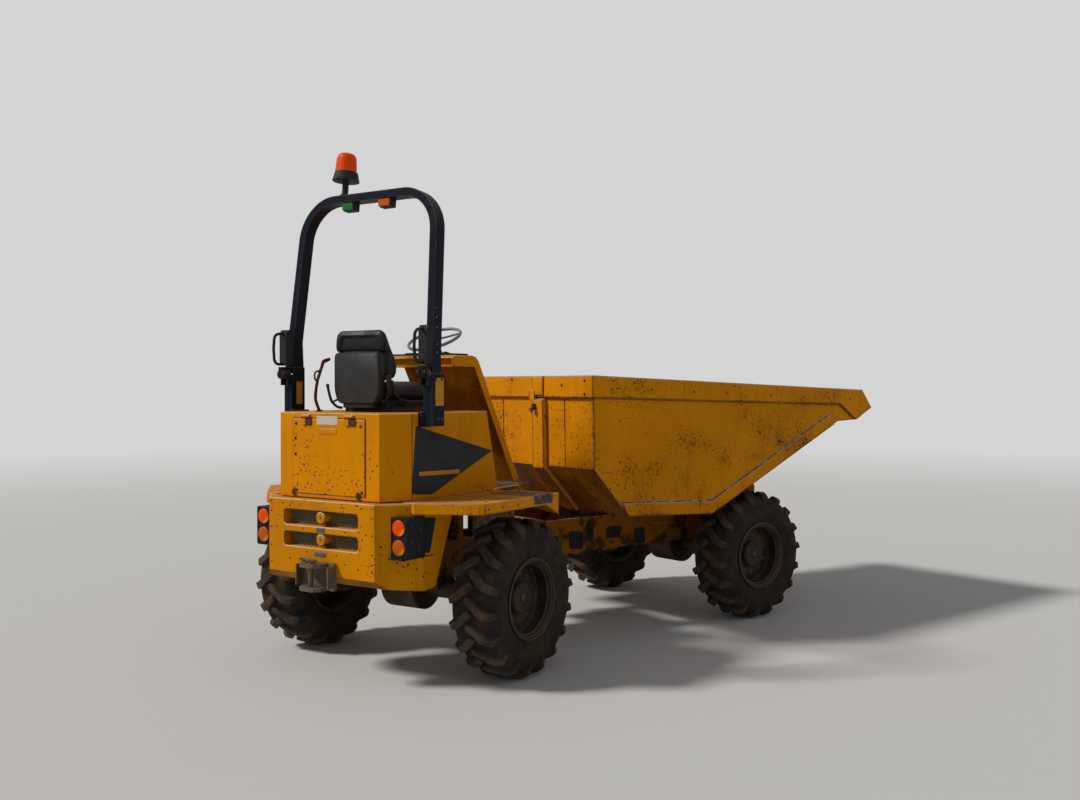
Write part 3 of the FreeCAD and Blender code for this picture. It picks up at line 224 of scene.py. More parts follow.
def painted(name, colour, worn=0.5, spots=0.5, dust=0.5, mud_top=0.6, rough=0.42, inside=False, edge_highlight=0.7,
            pepper=None, stains=(), reach_m=0.011, grime=0.0):
    # paint with sun fade, chips to steel and rust at the edges, spots, scratches, dust and mud, with a painted
    # highlight along upward edges and painted shade on downward faces
    s = Shader(name)
    base = s.mix(s.step(s.noise(1.1, 4.0), 0.32, 0.68), shade(colour, 0.9), shade(colour, 1.06))
    streak = s.step(s.noise(9.0, 4.0, stretch=(1.0, 1.0, 0.13)), 0.52, 0.8)
    base = s.over(base, s.mix(0.55, base, shade(RUST, 1.2)), streak, 0.35)
    base = s.over(base, MUD, s.step(s.noise(4.2, 6.0, 0.7), 0.5, 0.78), 0.28 * dust + 0.06)
    edge = s.edges(reach_m)
    ragged = s.noise(55.0, 5.0, 0.7)
    reach = s.plus(s.times(s.calc("POWER", edge, 0.5), 0.78), s.times(s.noise(3.1, 2.0), 0.5))
    chip, halo = (s.step(s.plus(reach, s.times(ragged, k)), low - 0.24 * worn, high - 0.24 * worn)
        for k, low, high in ((0.85, 1.06, 1.12), (0.75, 0.88, 1.06)))
    density = s.plus(s.step(s.noise(2.3, 3.0), 0.6 - 0.22 * spots, 0.72 - 0.12 * spots), 0.25 * spots)
    pits = s.most(s.spots(46.0, 0.34, density), s.spots(20.0, 0.17, density))
    if pepper:
        zone = s.times(s.step(s.z_of(s.place), pepper[1], pepper[0]), s.step(s.noise(6.0, 2.0), 0.28, 0.45))
        pits = s.most(pits, s.spots(36.0, 0.3, zone, 0.4))
    halo = s.most(halo, s.times(pits, 0.6))
    base = s.mix(halo, base, s.mix(0.55, shade(RUST, 1.3), base))
    across = s.step(s.noise(3.0, 4.0, 0.6, stretch=(14.0, 14.0, 0.8)), 0.695, 0.725)
    along = s.step(s.noise(2.6, 4.0, 0.6, stretch=(0.9, 0.9, 26.0)), 0.69, 0.72)
    base = s.over(base, BARE_STEEL, s.most(across, along), 0.6 * worn)
    metal = s.mix(s.step(s.noise(31.0, 3.0), 0.46, 0.62), BARE_STEEL, RUST)
    base = s.mix(s.most(chip, pits), base, metal)
    for point, radius in stains:
        away = s.vector("DISTANCE", "Value", s.place, tuple(point))
        blot = s.step(s.plus(away, s.times(ragged, radius)), radius * 1.5, radius)
        base = s.over(base, s.mix(ragged, shade(RUST, 0.6), shade(RUST, 1.5)), blot, 0.9)
    up = s.z_of(s.normal)
    lie = s.times(s.step(up, 0.45, 0.95), s.step(s.noise(7.0, 6.0, 0.65), 0.3, 0.72))
    base = s.over(base, DUST, lie, 0.1 + 0.65 * dust)
    # painted highlight: a pale, broken line along edges that turn upwards
    rim = s.times(s.step(s.z_of(s.soft), 0.1, 0.32), s.step(edge, 0.006, 0.05))
    base = s.over(base, PALE_HIGHLIGHT, s.times(rim, s.step(s.noise(11.0, 5.0, 0.7), 0.26, 0.4)), edge_highlight)
    # painted shade on faces turned downwards, laid with dark blots of grime
    underside_shade = s.times(s.step(up, -0.15, -0.6), s.step(s.noise(3.5, 5.0, 0.7), 0.2, 0.6))
    blots = s.times(s.step(s.noise(5.5, 5.0, 0.6), 0.52, 0.6), grime)
    base = s.over(base, shade(SOIL, 0.35), s.most(s.times(underside_shade, 0.7), blots))
    splash = s.noise(12.0, 8.0, 0.72)
    low = s.step(s.z_of(s.place), mud_top, mud_top - 0.55)
    mud = s.times(s.step(s.plus(splash, s.times(low, 0.42)), 0.62, 0.86), s.step(low, 0.0, 0.25))
    base = s.over(base, s.mix(splash, shade(MUD, 0.6), shade(DUST, 0.7)), mud, 0.85)
    clean = s.blend(s.noise(21.0, 3.0), rough - 0.08, rough + 0.14)
    roughness = s.blend(s.most(mud, lie, chip, halo), clean, 0.86)
    if inside:
        base, roughness = load_space(s, base, roughness, metal)
    relief = s.calc("SUBTRACT", s.times(mud, splash), s.times(s.most(chip, pits), 0.5))
    s.bump(s.plus(relief, s.times(s.noise(5.0, 2.0), 0.6)), 0.0015)
    return s.finish(base, roughness, 0.0, 0.05)


def load_space(s, base, roughness, metal):
    # the skip's inner faces: scoured steel with dried soil, thick on the floor and thin near the rim
    to_pivot = s.vector("SUBTRACT", 0, s.place, tuple(PIVOT))
    side, ahead = s.dot(to_pivot, tuple(FRONT_Y)), s.dot(to_pivot, tuple(FRONT_X))
    inner_side = s.step(s.times(side, s.dot(s.normal, tuple(FRONT_Y))), -0.3, -0.62)
    inner_rear = s.times(s.step(s.dot(s.normal, tuple(FRONT_X)), 0.5, 0.8), s.step(ahead, 0.62, 0.55))
    upward = s.step(s.z_of(s.normal), 0.25, 0.5)
    between_walls = s.step(s.calc("ABSOLUTE", side), 0.922, 0.916)
    inner = s.times(s.most(inner_side, inner_rear, upward), between_walls)
    caked = s.noise(6.0, 8.0, 0.7)
    soil = s.mix(caked, shade(SOIL, 0.75), shade(DUST, 0.8))
    amount = s.step(s.plus(s.times(s.step(s.z_of(s.place), 1.8, 1.15), 0.55), caked), 0.55, 0.85)
    streaks = s.step(s.noise(2.2, 4.0, stretch=(1.0, 1.0, 4.0)), 0.42, 0.62)
    lining = s.mix(amount, s.mix(streaks, s.mix(0.35, metal, DUST), base), soil)
    return s.mix(inner, base, lining), s.blend(inner, roughness, 0.88)


def rubber(name):
    # dark between the lugs, dusty on their crowns, with a painted highlight along their edges
    s = Shader(name)
    dusty = s.noise(9.0, 8.0, 0.7)
    fine = s.noise(85.0, 4.0)
    top, ribs = (s.node("ShaderNodeAttribute", attribute_name=key).outputs["Fac"] for key in ("top", "along"))
    side = s.mix(s.step(dusty, 0.36, 0.7), shade(RUBBER, 0.72), s.mix(0.3, RUBBER, shade(MUD, 0.8)))
    crown = s.mix(s.step(dusty, 0.34, 0.62), shade(RUBBER, 1.7),
        s.mix(0.45, shade(RUBBER, 2.0), shade(MUD, 1.1)))
    base = s.over(s.mix(top, side, crown), shade(DUST, 0.6), s.step(fine, 0.52, 0.72), 0.16)
    # painted highlight along the crowns' edges
    edge = s.step(s.edges(0.007), 0.08, 0.28)
    base = s.over(base, srgb(104, 98, 92), s.times(edge, top), 0.55)
    wave = s.calc("SINE", s.times(ribs, 2 * math.pi / 0.026))
    bars = s.times(s.step(wave, -0.2, 0.5), top)
    base = s.over(base, shade(RUBBER, 3.0), bars, 0.16)
    s.bump(s.plus(s.plus(s.times(bars, 0.7), s.times(fine, 0.2)), s.times(dusty, 0.2)), 0.002)
    return s.finish(base, s.blend(dusty, 0.72, 0.94), 0.0, 0.15)


def dull_metal(name, colour, tint=MUD, rough=0.62, metallic=0.35, amount=0.5):
    s = Shader(name)
    blotch = s.noise(8.0, 6.0, 0.65)
    base = s.mix(s.step(blotch, 0.35, 0.68), shade(colour, 0.75), s.mix(amount, colour, tint))
    base = s.over(base, RUST, s.step(s.noise(23.0, 5.0, 0.7), 0.58, 0.7), 0.5)
    base = s.over(base, shade(DUST, 1.1), s.step(s.edges(0.004), 0.25, 0.7), 0.45)
    s.bump(s.plus(blotch, s.times(s.noise(120.0, 2.0), 0.3)), 0.0012)
    return s.finish(base, s.blend(blotch, rough - 0.1, rough + 0.25), metallic, 0.25)


def plastic(name, colour, rough=0.55, dust=0.12):
    s = Shader(name)
    film = s.step(s.noise(5.0, 6.0, 0.7), 0.42, 0.75)
    base = s.over(colour, shade(DUST, 0.8), film, dust)
    base = s.over(base, DUST, s.spots(48.0, 0.2, 0.8), 0.5)
    # scuffs along the edges, lightened further as a painted highlight
    scuff_and_highlight = s.times(s.step(s.edges(0.0035), 0.12, 0.45), s.step(s.noise(14.0, 3.0), 0.34, 0.52))
    base = s.over(base, shade(colour, 4.0), scuff_and_highlight, 0.45)
    s.bump(s.noise(420.0, 2.0), 0.0002)
    return s.finish(base, s.blend(film, rough, rough + 0.25), 0.0, 0.2)


def lens(name, colour, lit_core=None, glow=0.0):
    # a moulded lens with painted light: a lit core where it faces down and away from the light's side, and a
    # faint glow
    s = Shader(name)
    grime = s.step(s.noise(30.0, 4.0), 0.5, 0.75)
    if lit_core:
        colour = s.mix(s.step(s.dot(s.normal, (-0.86, -0.35, -0.37)), 0.9, 1.0), colour, lit_core)
    base = s.over(colour, shade(DUST, 0.5), grime, 0.15)
    return s.finish(base, s.blend(grime, 0.35, 0.5), 0.0, 0.12, Emission_Color=rgba(colour),
        Emission_Strength=glow)


def soil_metal(name):
    # bare trodden plate, dark with dried dirt in the pattern
    s = Shader(name)
    dirt = s.noise(16.0, 7.0, 0.7)
    s.bump(dirt, 0.002)
    base = s.mix(s.step(dirt, 0.36, 0.66), shade(DARK_STEEL, 0.8), shade(DUST, 0.72))
    return s.finish(base, s.blend(dirt, 0.6, 0.92), 0.2)


# The rear face of the door, from the rear axle
DOOR_FACE = -0.769
# columns: place across, height, radius of a rusty stain round a latch or a hinge
DOOR_STAINS = [(0.285, 1.115, 0.03), (-0.245, 1.113, 0.03), (0.154, 1.545, 0.034), (-0.199, 1.545, 0.036),
               (0.02, 1.106, 0.016)]
MATERIALS = {
    "yellow": painted("yellow_paint", YELLOW, worn=0.5, spots=0.4, dust=0.3, edge_highlight=0.9),
    "door": painted("door_paint", YELLOW, worn=0.4, spots=0.75, dust=0.25, mud_top=0.5, pepper=(1.2, 1.46),
                    stains=[(R(DOOR_FACE, y, z), r) for y, z, r in DOOR_STAINS]),
    # a darker copy of the yellow: painted shade low on the rear
    "weight": painted("counterweight_paint", shade(YELLOW, 0.86), worn=0.75, spots=0.7, dust=0.4,
                      mud_top=0.76, edge_highlight=0.95, reach_m=0.014),
    # the chassis in the darker copy of the yellow: painted shade low on the machine
    "chassis": painted("chassis_paint", YELLOW_SHADED, worn=0.9, spots=0.8, dust=0.6, mud_top=0.72, edge_highlight=0.3,
                       reach_m=0.016, grime=0.85),
    "deck": painted("deck_paint", YELLOW, worn=0.9, spots=0.6, dust=1.0, mud_top=0.7, edge_highlight=0.6, reach_m=0.014),
    "skip": painted("skip_paint", YELLOW, worn=1.15, spots=0.6, dust=0.35, mud_top=0.9, inside=True, edge_highlight=0.6,
                    reach_m=0.02),
    "frame": painted("roll_frame_paint", FRAME_BLACK, worn=0.25, spots=0.3, dust=0.05, mud_top=0.5, rough=0.36,
                     edge_highlight=0.1),
    "rubber": rubber("tyre_rubber"),
    "rim": dull_metal("rim_paint", RIM_BROWN, tint=shade(MUD, 0.9), amount=0.35, metallic=0.15),
    "jaw": dull_metal("jaw_steel", JAW_BROWN, tint=DUST, amount=0.35),
    "steel": dull_metal("dark_steel", DARK_STEEL, tint=MUD, amount=0.5),
    "bolt": dull_metal("bolt_steel", srgb(88, 78, 66), tint=RUST, rough=0.5, metallic=0.6, amount=0.3),
    "chrome": dull_metal("rod_chrome", srgb(190, 190, 196), tint=srgb(120, 112, 104), rough=0.22, metallic=1.0,
                         amount=0.3),
    "plastic": plastic("black_plastic", PLASTIC_BLACK, dust=0.05),
    "vinyl": plastic("seat_vinyl", VINYL_BLACK, rough=0.42, dust=0.04),
    "shell": plastic("seat_shell_plastic", srgb(33, 35, 38), rough=0.45, dust=0.1),
    "red": lens("lamp_red", srgb(214, 68, 0), srgb(255, 156, 20), 0.14),
    "amber": lens("lamp_amber", srgb(176, 80, 0), srgb(250, 150, 16), 0.08),
    "beacon": lens("beacon_amber", srgb(206, 66, 0), srgb(250, 130, 10), 0.16),
    "green": lens("lamp_green", srgb(14, 96, 44), None, 0.05),
    "clear": lens("gauge_glass", srgb(22, 24, 26)),
    "mesh": dull_metal("mesh_wire", srgb(158, 150, 118), tint=srgb(108, 100, 76), rough=0.7, metallic=0.2),
    # dark core behind the slots, and the painted shade in the front plates' openings
    "core": dull_metal("dark_core_and_opening_shade", srgb(34, 32, 28), tint=srgb(56, 52, 42), rough=0.8, metallic=0.1),
    "floor": soil_metal("trodden_plate"),
    "decal": plastic("decal_black", srgb(22, 31, 39), rough=0.42, dust=0.03),
    "stripe": plastic("decal_yellow", shade(YELLOW, 0.9), rough=0.45, dust=0.15),
    "label": plastic("label_yellow", srgb(196, 138, 10), rough=0.5, dust=0.3),
    "plate": plastic("blank_plate", srgb(200, 190, 184), rough=0.45, dust=0.35),
    "patch": soil_metal("anti_slip_patch"),
    "grip": plastic("red_grip", srgb(82, 30, 22), rough=0.6, dust=0.2),
    "rust": dull_metal("rusty_steel", srgb(78, 50, 32), tint=RUST, amount=0.6),
    "tag": dull_metal("grey_steel", srgb(92, 98, 110), tint=DUST, amount=0.25),
    "chip": dull_metal("chipped_edge", srgb(72, 66, 66), tint=shade(RUST, 0.8), amount=0.4),
    "brass": dull_metal("stud_brass", srgb(186, 150, 84), tint=DUST, amount=0.3),
    # the steering wheel's black plastic in mid grey, a painted sky reflection
    "grey": plastic("grey_reflection_rim", srgb(120, 124, 130), rough=0.35, dust=0.15),
}

# Each finish with the CAD nodes that stay in view
NODE_FINISH = {
    "door": "rear_door", "weight": "counterweight", "deck": "deck_left deck_right", "skip": "skip",
    "chassis": "rear_frame front_frame", "yellow": "bonnet console", "frame": "roll_frame_posts roll_hoop",
    "jaw": "tow_jaw", "floor": "floor_plate", "rubber": "rest_pads", "chrome": "tip_rod steer_rod",
    "steel": "rear_axle front_axle engine_block tip_barrel steer_barrel",
    "rim": "rear_rim_left rear_rim_right front_rim_left front_rim_right", "shell": "seat_shell",
    "plastic": "grab_handles lamp_boxes beacon_base bar_lamp_housings instrument_panel steering_column "
               "levers seat_base",
    "red": "lamps_upper", "amber": "lamps_lower bar_lamp_amber", "beacon": "beacon_lens",
    "green": "bar_lamp_green", "grey": "steering_wheel"}
for finish_name, node_names in NODE_FINISH.items():
    for node_name in node_names.split():
        data = frame["nodes"][node_name].data
        data.materials.clear()
        data.materials.append(MATERIALS[finish_name])

# The material slot named for each finish that has one; piece() looks it up but sets nothing with it
SLOT = {"rubber": "tyre", "vinyl": "seat_vinyl", "yellow": "yellow_paint", "red": "lens_red",
        "amber": "lens_amber", "beacon": "lens_amber"}
SLOT.update(dict.fromkeys("bolt steel rust mesh core tag jaw brass grip chip".split(), "dark_steel"))
SLOT.update(dict.fromkeys("shell decal stripe label plate plastic grey clear patch".split(), "black_plastic"))


# Mesh helpers
def piece(name, mesh, finish, body="chassis", replaces=(), slot=None):
    made = bpy.data.objects.new(name, mesh)
    bpy.context.scene.collection.objects.link(made)
    mesh.materials.clear()
    mesh.materials.append(MATERIALS[finish])
    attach(made, body)
    slot = slot or SLOT.get(finish)
    if replaces:
        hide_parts(*replaces)
    return made


def mesh_from(bm, name, smooth=None):
    mesh = bpy.data.meshes.new(name)
    bmesh.ops.recalc_face_normals(bm, faces=bm.faces)
    bm.to_mesh(mesh)
    bm.free()
    if smooth is not None:
        for face in mesh.polygons:
            face.use_smooth = True
        mesh.set_sharp_from_angle(angle=math.radians(smooth))
    return mesh


def joined(name, bm, finish, body="chassis", replaces=(), smooth=35, slot=None):
    return piece(name, mesh_from(bm, name, smooth), finish, body, replaces, slot)


def frame_at(position, normal):
    # a matrix whose Z is the normal and whose X is as near as it can be to level
    z = Vector(normal).normalized()
    x = UP.cross(z)
    if x.length < 1e-4:
        x = Vector((1, 0, 0)).cross(z)
    x.normalize()
    return Matrix.Translation(position) @ Matrix((x, z.cross(x), z)).transposed().to_4x4()


def circle(count):
    return [2 * math.pi * i / count for i in range(count)]


def polar(radius, angle, height=0.0):
    return Vector((radius * math.cos(angle), radius * math.sin(angle), height))


def skin(bm, loops, closed=False):
    # a skin through loops of equal point counts, capped at both ends unless it closes on itself
    loops = [[bm.verts.new(p) for p in loop] for loop in loops]
    for one, two in zip(loops, loops[1:] + (loops[:1] if closed else [])):
        for i in range(len(one)):
            j = (i + 1) % len(one)
            bm.faces.new((one[i], one[j], two[j], two[i]))
    if not closed:
        bm.faces.new(reversed(loops[0]))
        bm.faces.new(loops[-1])
    return loops


def add_disc(bm, position, normal, profile, sides=24):
    # a solid turned about the normal from (radius, height) pairs
    at = frame_at(position, normal)
    skin(bm, [[at @ polar(radius, a, height) for a in circle(sides)] for radius, height in profile])


def add_tube(bm, points, radius, sides=12, closed=False):
    # a round tube through the points, with a frame carried along so that it doesn't twist
    last = len(points) - 1
    loops = []
    side = None
    for i, point in enumerate(points):
        ahead = points[(i + 1) % len(points)] if closed or i < last else point
        back = points[i - 1] if closed or i > 0 else point
        along = (ahead - back).normalized()
        if side is None:
            side = along.orthogonal().normalized()
        side = (side - along * side.dot(along)).normalized()
        other = along.cross(side)
        loops.append([point + (side * math.cos(a) + other * math.sin(a)) * radius for a in circle(sides)])
    skin(bm, loops, closed)


def curve_through(points, steps=8):
    # a smooth path through the points
    out = []
    last = len(points) - 1
    for i in range(last):
        p0, p1, p2, p3 = (points[max(0, min(last, i + k))] for k in (-1, 0, 1, 2))
        for t in (k / steps for k in range(steps)):
            out.append(0.5 * ((2 * p1) + (p2 - p0) * t + (2 * p0 - 5 * p1 + 4 * p2 - p3) * t * t
                + (3 * p1 - p0 - 3 * p2 + p3) * t ** 3))
    return out + [points[-1]]


def add_prism(bm, points, along):
    # a flat outline pushed along a vector
    skin(bm, [points, [p + along for p in points]])


def add_bolt(bm, position, normal, radius=0.009, washer=True):
    if washer:
        add_disc(bm, position, normal, [(radius * 1.55, -0.001), (radius * 1.55, 0.0018),
            (radius * 1.4, 0.0026)], 14)
    add_disc(bm, position, normal, [(radius, 0.0), (radius, radius * 0.85), (radius * 0.86, radius * 1.05)],
        6)


# Boxes in a module's own directions
BASIS = {R: Matrix.Identity(3), F: Matrix((FRONT_X, FRONT_Y, UP)).transposed()}


def block(bm, x, y, z, at=R, chamfer=0.0):
    middle = at(*(sum(ends) / 2.0 for ends in (x, y, z)))
    size = (abs(ends[1] - ends[0]) for ends in (x, y, z))
    add_box(bm, Matrix.Translation(middle) @ BASIS[at].to_4x4(), size, chamfer)


def add_box(bm, matrix, size, chamfer=0.0):
    made = bmesh.ops.create_cube(bm, size=1.0, matrix=matrix @ Matrix.Diagonal((*size, 1.0)))
    if chamfer:
        edges = list({e for v in made["verts"] for e in v.link_edges})
        bmesh.ops.bevel(bm, geom=edges, offset=chamfer, segments=2, profile=0.6, affect="EDGES")


def rounded(points, radius, steps=5):
    # a flat outline of (a, b) pairs with its corners rounded
    out = []
    for i, corner in enumerate(points):
        p, a, b = Vector(corner), Vector(points[i - 1]), Vector(points[(i + 1) % len(points)])
        cut = min(radius, (a - p).length * 0.49, (b - p).length * 0.49)
        start, end = p + (a - p).normalized() * cut, p + (b - p).normalized() * cut
        for t in (k / steps for k in range(steps + 1)):
            out.append(tuple(start * (1 - t) ** 2 + p * 2 * t * (1 - t) + end * t * t))
    return out


def bolts(name, body, rows, finish="bolt"):
    # each row: places, the way the heads face, radius, washer or not
    bm = bmesh.new()
    for places, normal, radius, washer in rows:
        for at in places:
            add_bolt(bm, at, normal, radius, washer)
    joined(name, bm, finish, body)


# Tyres: a crowned carcass with alternating bent lugs, the same for all four wheels
LUGS = 18
LUG_START = -0.037
TREAD_R = 0.465
TREAD_EDGE = 0.1
TREAD_SLANT = 0.72
SHOULDER_SLANT = 0.35
END_SWEEP = 0.11
END_R = 0.42
SHOULDER_R = 0.375
# columns: radius, half width
CARCASS = [
    (0.2292, 0.0), (0.2292, 0.13), (0.2445, 0.134), (0.2665, 0.141), (0.3, 0.1555), (0.335, 0.16),
    (0.362, 0.1592), (0.374, 0.158), (0.3775, 0.156), (0.4, 0.1525), (0.422, 0.144),
    (0.439, 0.126), (0.448, 0.09), (0.4525, 0.04), (0.453, 0.0)]
# columns: width across the tread, sweep round the tyre, foot radius, crown radius,
# half width at the crown, half width at the foot
STATIONS = [
    (-0.016, 0.0, 0.45, 0.4805, 0.006, 0.013), (-0.01, 0.004, 0.45, 0.482, 0.014, 0.022),
    (0.004, 0.014, 0.45, 0.4825, 0.019, 0.028), (0.04, 0.044, 0.449, 0.4825, 0.0205, 0.03),
    (0.082, 0.078, 0.445, 0.4815, 0.0215, 0.031), (0.104, 0.092, 0.44, 0.4785, 0.022, 0.031),
    (0.128, 0.1, 0.428, 0.469, 0.022, 0.03), (0.15, 0.106, 0.405, 0.452, 0.021, 0.028)]
# columns: radius above the shoulder, place round the tyre, width
LUG_END = [(0.0, -0.024, 0.156), (0.004, -0.016, 0.1585), (0.004, -0.012, 0.1595), (0.004, 0.012, 0.1595),
           (0.004, 0.016, 0.1585), (0.0, 0.024, 0.156)]
lug_runs = [0.0]
for one, two in zip(STATIONS, STATIONS[1:]):
    lug_runs.append(lug_runs[-1] + math.dist(one[:2], two[:2]))


def on_tyre(radius, angle, width):
    return Vector((radius * math.sin(angle), width, radius * math.cos(angle)))


def tyre_mesh(name, mirror):
    bm = bmesh.new()
    along = bm.verts.layers.float.new("along")
    top = bm.verts.layers.float.new("top")
    ring = CARCASS + [(r, -w) for r, w in CARCASS[-2:0:-1]]
    skin(bm, [[on_tyre(r, a, w) for r, w in ring] for a in circle(96)], closed=True)
    for turn in circle(LUGS):
        for sign in (1, -1):
            start = turn + LUG_START + (math.pi / LUGS if sign < 0 else 0.0)
            sections = []
            for w, sweep, foot, crown, half_top, half_foot in STATIONS:
                # the sides of a lug run square to its length, which is slanted on the tread
                slant = TREAD_SLANT if w < TREAD_EDGE else SHOULDER_SLANT
                outline = [(foot - 0.012, half_foot), (crown - 0.003, half_top + 0.002),
                    (crown, half_top - 0.002)]
                outline = [(r, -off) for r, off in outline] + outline[::-1]
                sections.append([on_tyre(r, start - (sweep - off * math.cos(slant)) / TREAD_R,
                    sign * (w + off * math.sin(slant))) for r, off in outline])
            sections.append([on_tyre(SHOULDER_R + r, start - END_SWEEP / TREAD_R + off / END_R, sign * w)
                for r, off, w in LUG_END])
            for section, run in zip(skin(bm, sections), lug_runs):
                for vert, is_top in zip(section, (0, 1, 1, 1, 1, 0)):
                    vert[along], vert[top] = run, is_top
    if mirror:
        bmesh.ops.scale(bm, vec=(1, -1, 1), verts=bm.verts)
    return mesh_from(bm, name, smooth=32)


for end, side in [(end, side) for end in ("rear", "front") for side in ("left", "right")]:
    joint = JOINTS["%s_wheel_%s_spin" % (end, side)]
    centre, axis = Vector(joint["pos_m"]), Vector(joint["axis"])
    name = "%s_%s" % (end, side)
    body = "%s_wheel_%s" % (end, side)
    tyre = tyre_mesh("tyre_" + name, side == "right")
    directions = Matrix(((axis.y, -axis.x, 0.0), axis, UP)).transposed()
    tyre.transform(Matrix.Translation(centre) @ directions.to_4x4())
    piece("tyre_" + name, tyre, "rubber", body, ("%s_tyre_%s" % (end, side),))
    out = axis if side == "left" else -axis
    bm = bmesh.new()

    def on_rim(angle, radius, across):
        return centre + out * across + Matrix.Rotation(angle, 3, axis) @ (UP * radius)

    for a in circle(10):
        add_bolt(bm, on_rim(a, 0.1475, 0.041), out, 0.0105)
    for a in circle(8):
        add_bolt(bm, on_rim(a + math.pi / 8.0, 0.074, 0.0715), out, 0.0055, washer=False)
    add_disc(bm, centre + out * 0.0715, out, [(0.024, 0.0), (0.024, 0.006), (0.019, 0.01)])
    add_tube(bm, [on_rim(0.5, r, w) for r, w in ((0.19, 0.03), (0.19, 0.055), (0.19 * 0.985, 0.07))], 0.006,
        10)
    for radius, across in ((0.215, 0.112), (0.2285, 0.136), (0.244, 0.1465)):
        add_tube(bm, [on_rim(a, radius, across) for a in circle(64)], 0.0035, 6, closed=True)
    joined("wheel_bolts_" + name, bm, "bolt", body, smooth=40, slot="rim_steel")

# Padded seat: a closed form is swollen as cloth, held near its start, then creased along its seams
SEAT_VOXEL = 0.006
SEAT_SUB = 1


def puffed(name, bm, cap):
    mesh = mesh_from(bm, name)
    scene = bpy.context.scene
    pad = bpy.data.objects.new(name + "_form", mesh)
    scene.collection.objects.link(pad)
    remesh = pad.modifiers.new("remesh", "REMESH")
    remesh.mode = "VOXEL"
    remesh.voxel_size = SEAT_VOXEL
    start = bpy.data.meshes.new_from_object(pad.evaluated_get(bpy.context.evaluated_depsgraph_get()))
    pad.modifiers.clear()
    pad.data = start
    cloth = pad.modifiers.new("cloth", "CLOTH")
    cloth.settings.use_pressure = True
    cloth.settings.uniform_pressure_force = 4.0
    cloth.settings.effector_weights.gravity = 0.0
    for step in range(1, 21):
        scene.frame_set(step)
    swollen = bpy.data.meshes.new_from_object(pad.evaluated_get(bpy.context.evaluated_depsgraph_get()))
    for before, after in zip(start.vertices, swollen.vertices):
        move = after.co - before.co
        if move.length > cap:
            after.co = before.co + move.normalized() * cap
    bpy.data.objects.remove(pad)
    scene.frame_set(1)
    return swollen


def shaped(mesh, move):
    for vertex in mesh.vertices:
        vertex.co = vertex.co + move(vertex.co - ORIGIN)
    return mesh


def smooth_step(value, low, high):
    t = max(0.0, min(1.0, (value - low) / (high - low)))
    return t * t * (3 - 2 * t)


def padded(name, mesh, replaces):
    for face in mesh.polygons:
        face.use_smooth = True
    made = piece(name, mesh, "vinyl", replaces=replaces)
    sub = made.modifiers.new("soft", "SUBSURF")
    sub.levels = sub.render_levels = SEAT_SUB
    return made


def shrunk(half_a, half_b, d):
    return [(-half_a + d, -half_b + d), (half_a - d, -half_b + d), (half_a - d, half_b - d),
        (-half_a + d, half_b - d)]


low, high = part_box("seat_cushion")
cushion_mid = (Vector(low) + Vector(high)) / 2.0
half_x, half_y = (high[0] - low[0]) / 2.0 - 0.006, (high[1] - low[1]) / 2.0 - 0.006
cushion_h = high[2] - low[2]
bm = bmesh.new()
# columns: height as a share of the pad's, inset from its widest outline
skin(bm, [[cushion_mid + Vector((a, b, (share - 0.5) * cushion_h)) for a, b in rounded(
    shrunk(half_x, half_y, inset), 0.075)] for share, inset in
    ((0.03, 0.03), (0.1, 0.012), (0.28, 0.003), (0.62, 0.0), (0.82, 0.008), (0.93, 0.024), (0.97, 0.05))])
cushion = puffed("seat_cushion_pad", bm, 0.008)
panel_x, panel_y = half_x - 0.075, half_y - 0.085


def cushion_seams(p):
    q = p + ORIGIN - cushion_mid
    if q.z < 0.0:
        return Vector()
    on_panel = max(abs(q.x) - panel_x, abs(q.y) - panel_y)
    welt = math.exp(-(on_panel / 0.006) ** 2)
    sewn = sum(math.exp(-((q.x - x) / 0.006) ** 2) for x in (-0.07, 0.07)) if on_panel < 0.0 else 0.0
    swell = 0.004 * smooth_step(-on_panel, 0.0, 0.05)
    return UP * (swell - 0.007 * min(1.0, welt + sewn))


padded("seat_cushion_pad", shaped(cushion, cushion_seams), ("seat_cushion",))

# The backrest by level sections, with a head that reaches back over the shell's top edge
BACK = [
    # columns: height, rear and front places, half width
    (1.79, -0.464, -0.4, 0.15), (1.8, -0.465, -0.375, 0.18), (1.83, -0.4655, -0.368, 0.196),
    (1.88, -0.4655, -0.367, 0.201), (1.926, -0.4655, -0.382, 0.201), (1.962, -0.4655, -0.397, 0.201),
    (1.974, -0.49, -0.406, 0.204), (2.0, -0.496, -0.424, 0.204), (2.04, -0.497, -0.444, 0.203),
    (2.064, -0.497, -0.453, 0.197), (2.082, -0.496, -0.46, 0.187), (2.095, -0.491, -0.466, 0.172),
    (2.102, -0.486, -0.472, 0.15)]
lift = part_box("seat_back")[1][2] - ORIGIN.z - 2.1
bm = bmesh.new()
skin(bm, [[R(a, b, z + lift) for a, b in rounded([(rear, -half), (front, -half), (front, half), (rear, half)],
    0.024)] for z, rear, front, half in BACK])
back = puffed("seat_back_pad", bm, 0.005)


def back_shape(p):
    # bolsters down the front's sides, a sunken panel and a piped edge on the head's rear
    z = p.z - lift
    front = smooth_step(p.x, -0.445, -0.405)
    side = smooth_step(abs(p.y), 0.105, 0.165) * smooth_step(1.985, z, z + 0.06)
    rear = smooth_step(-0.478, p.x, p.x + 0.006)
    inset = min(0.158 - abs(p.y) - 0.35 * max(0.0, z - 2.0), 2.06 - z, z - 1.962)
    panel = smooth_step(inset, 0.0, 0.007) * rear
    piping = math.exp(-((inset + 0.01) / 0.0045) ** 2) * rear
    seam = math.exp(-((abs(p.y) - 0.112) / 0.006) ** 2) * front
    return Vector((0.006 * side * front - 0.008 * seam - 0.005 * (1.0 - side) * front
        + 0.011 * panel - 0.003 * piping, 0.0, 0.0))


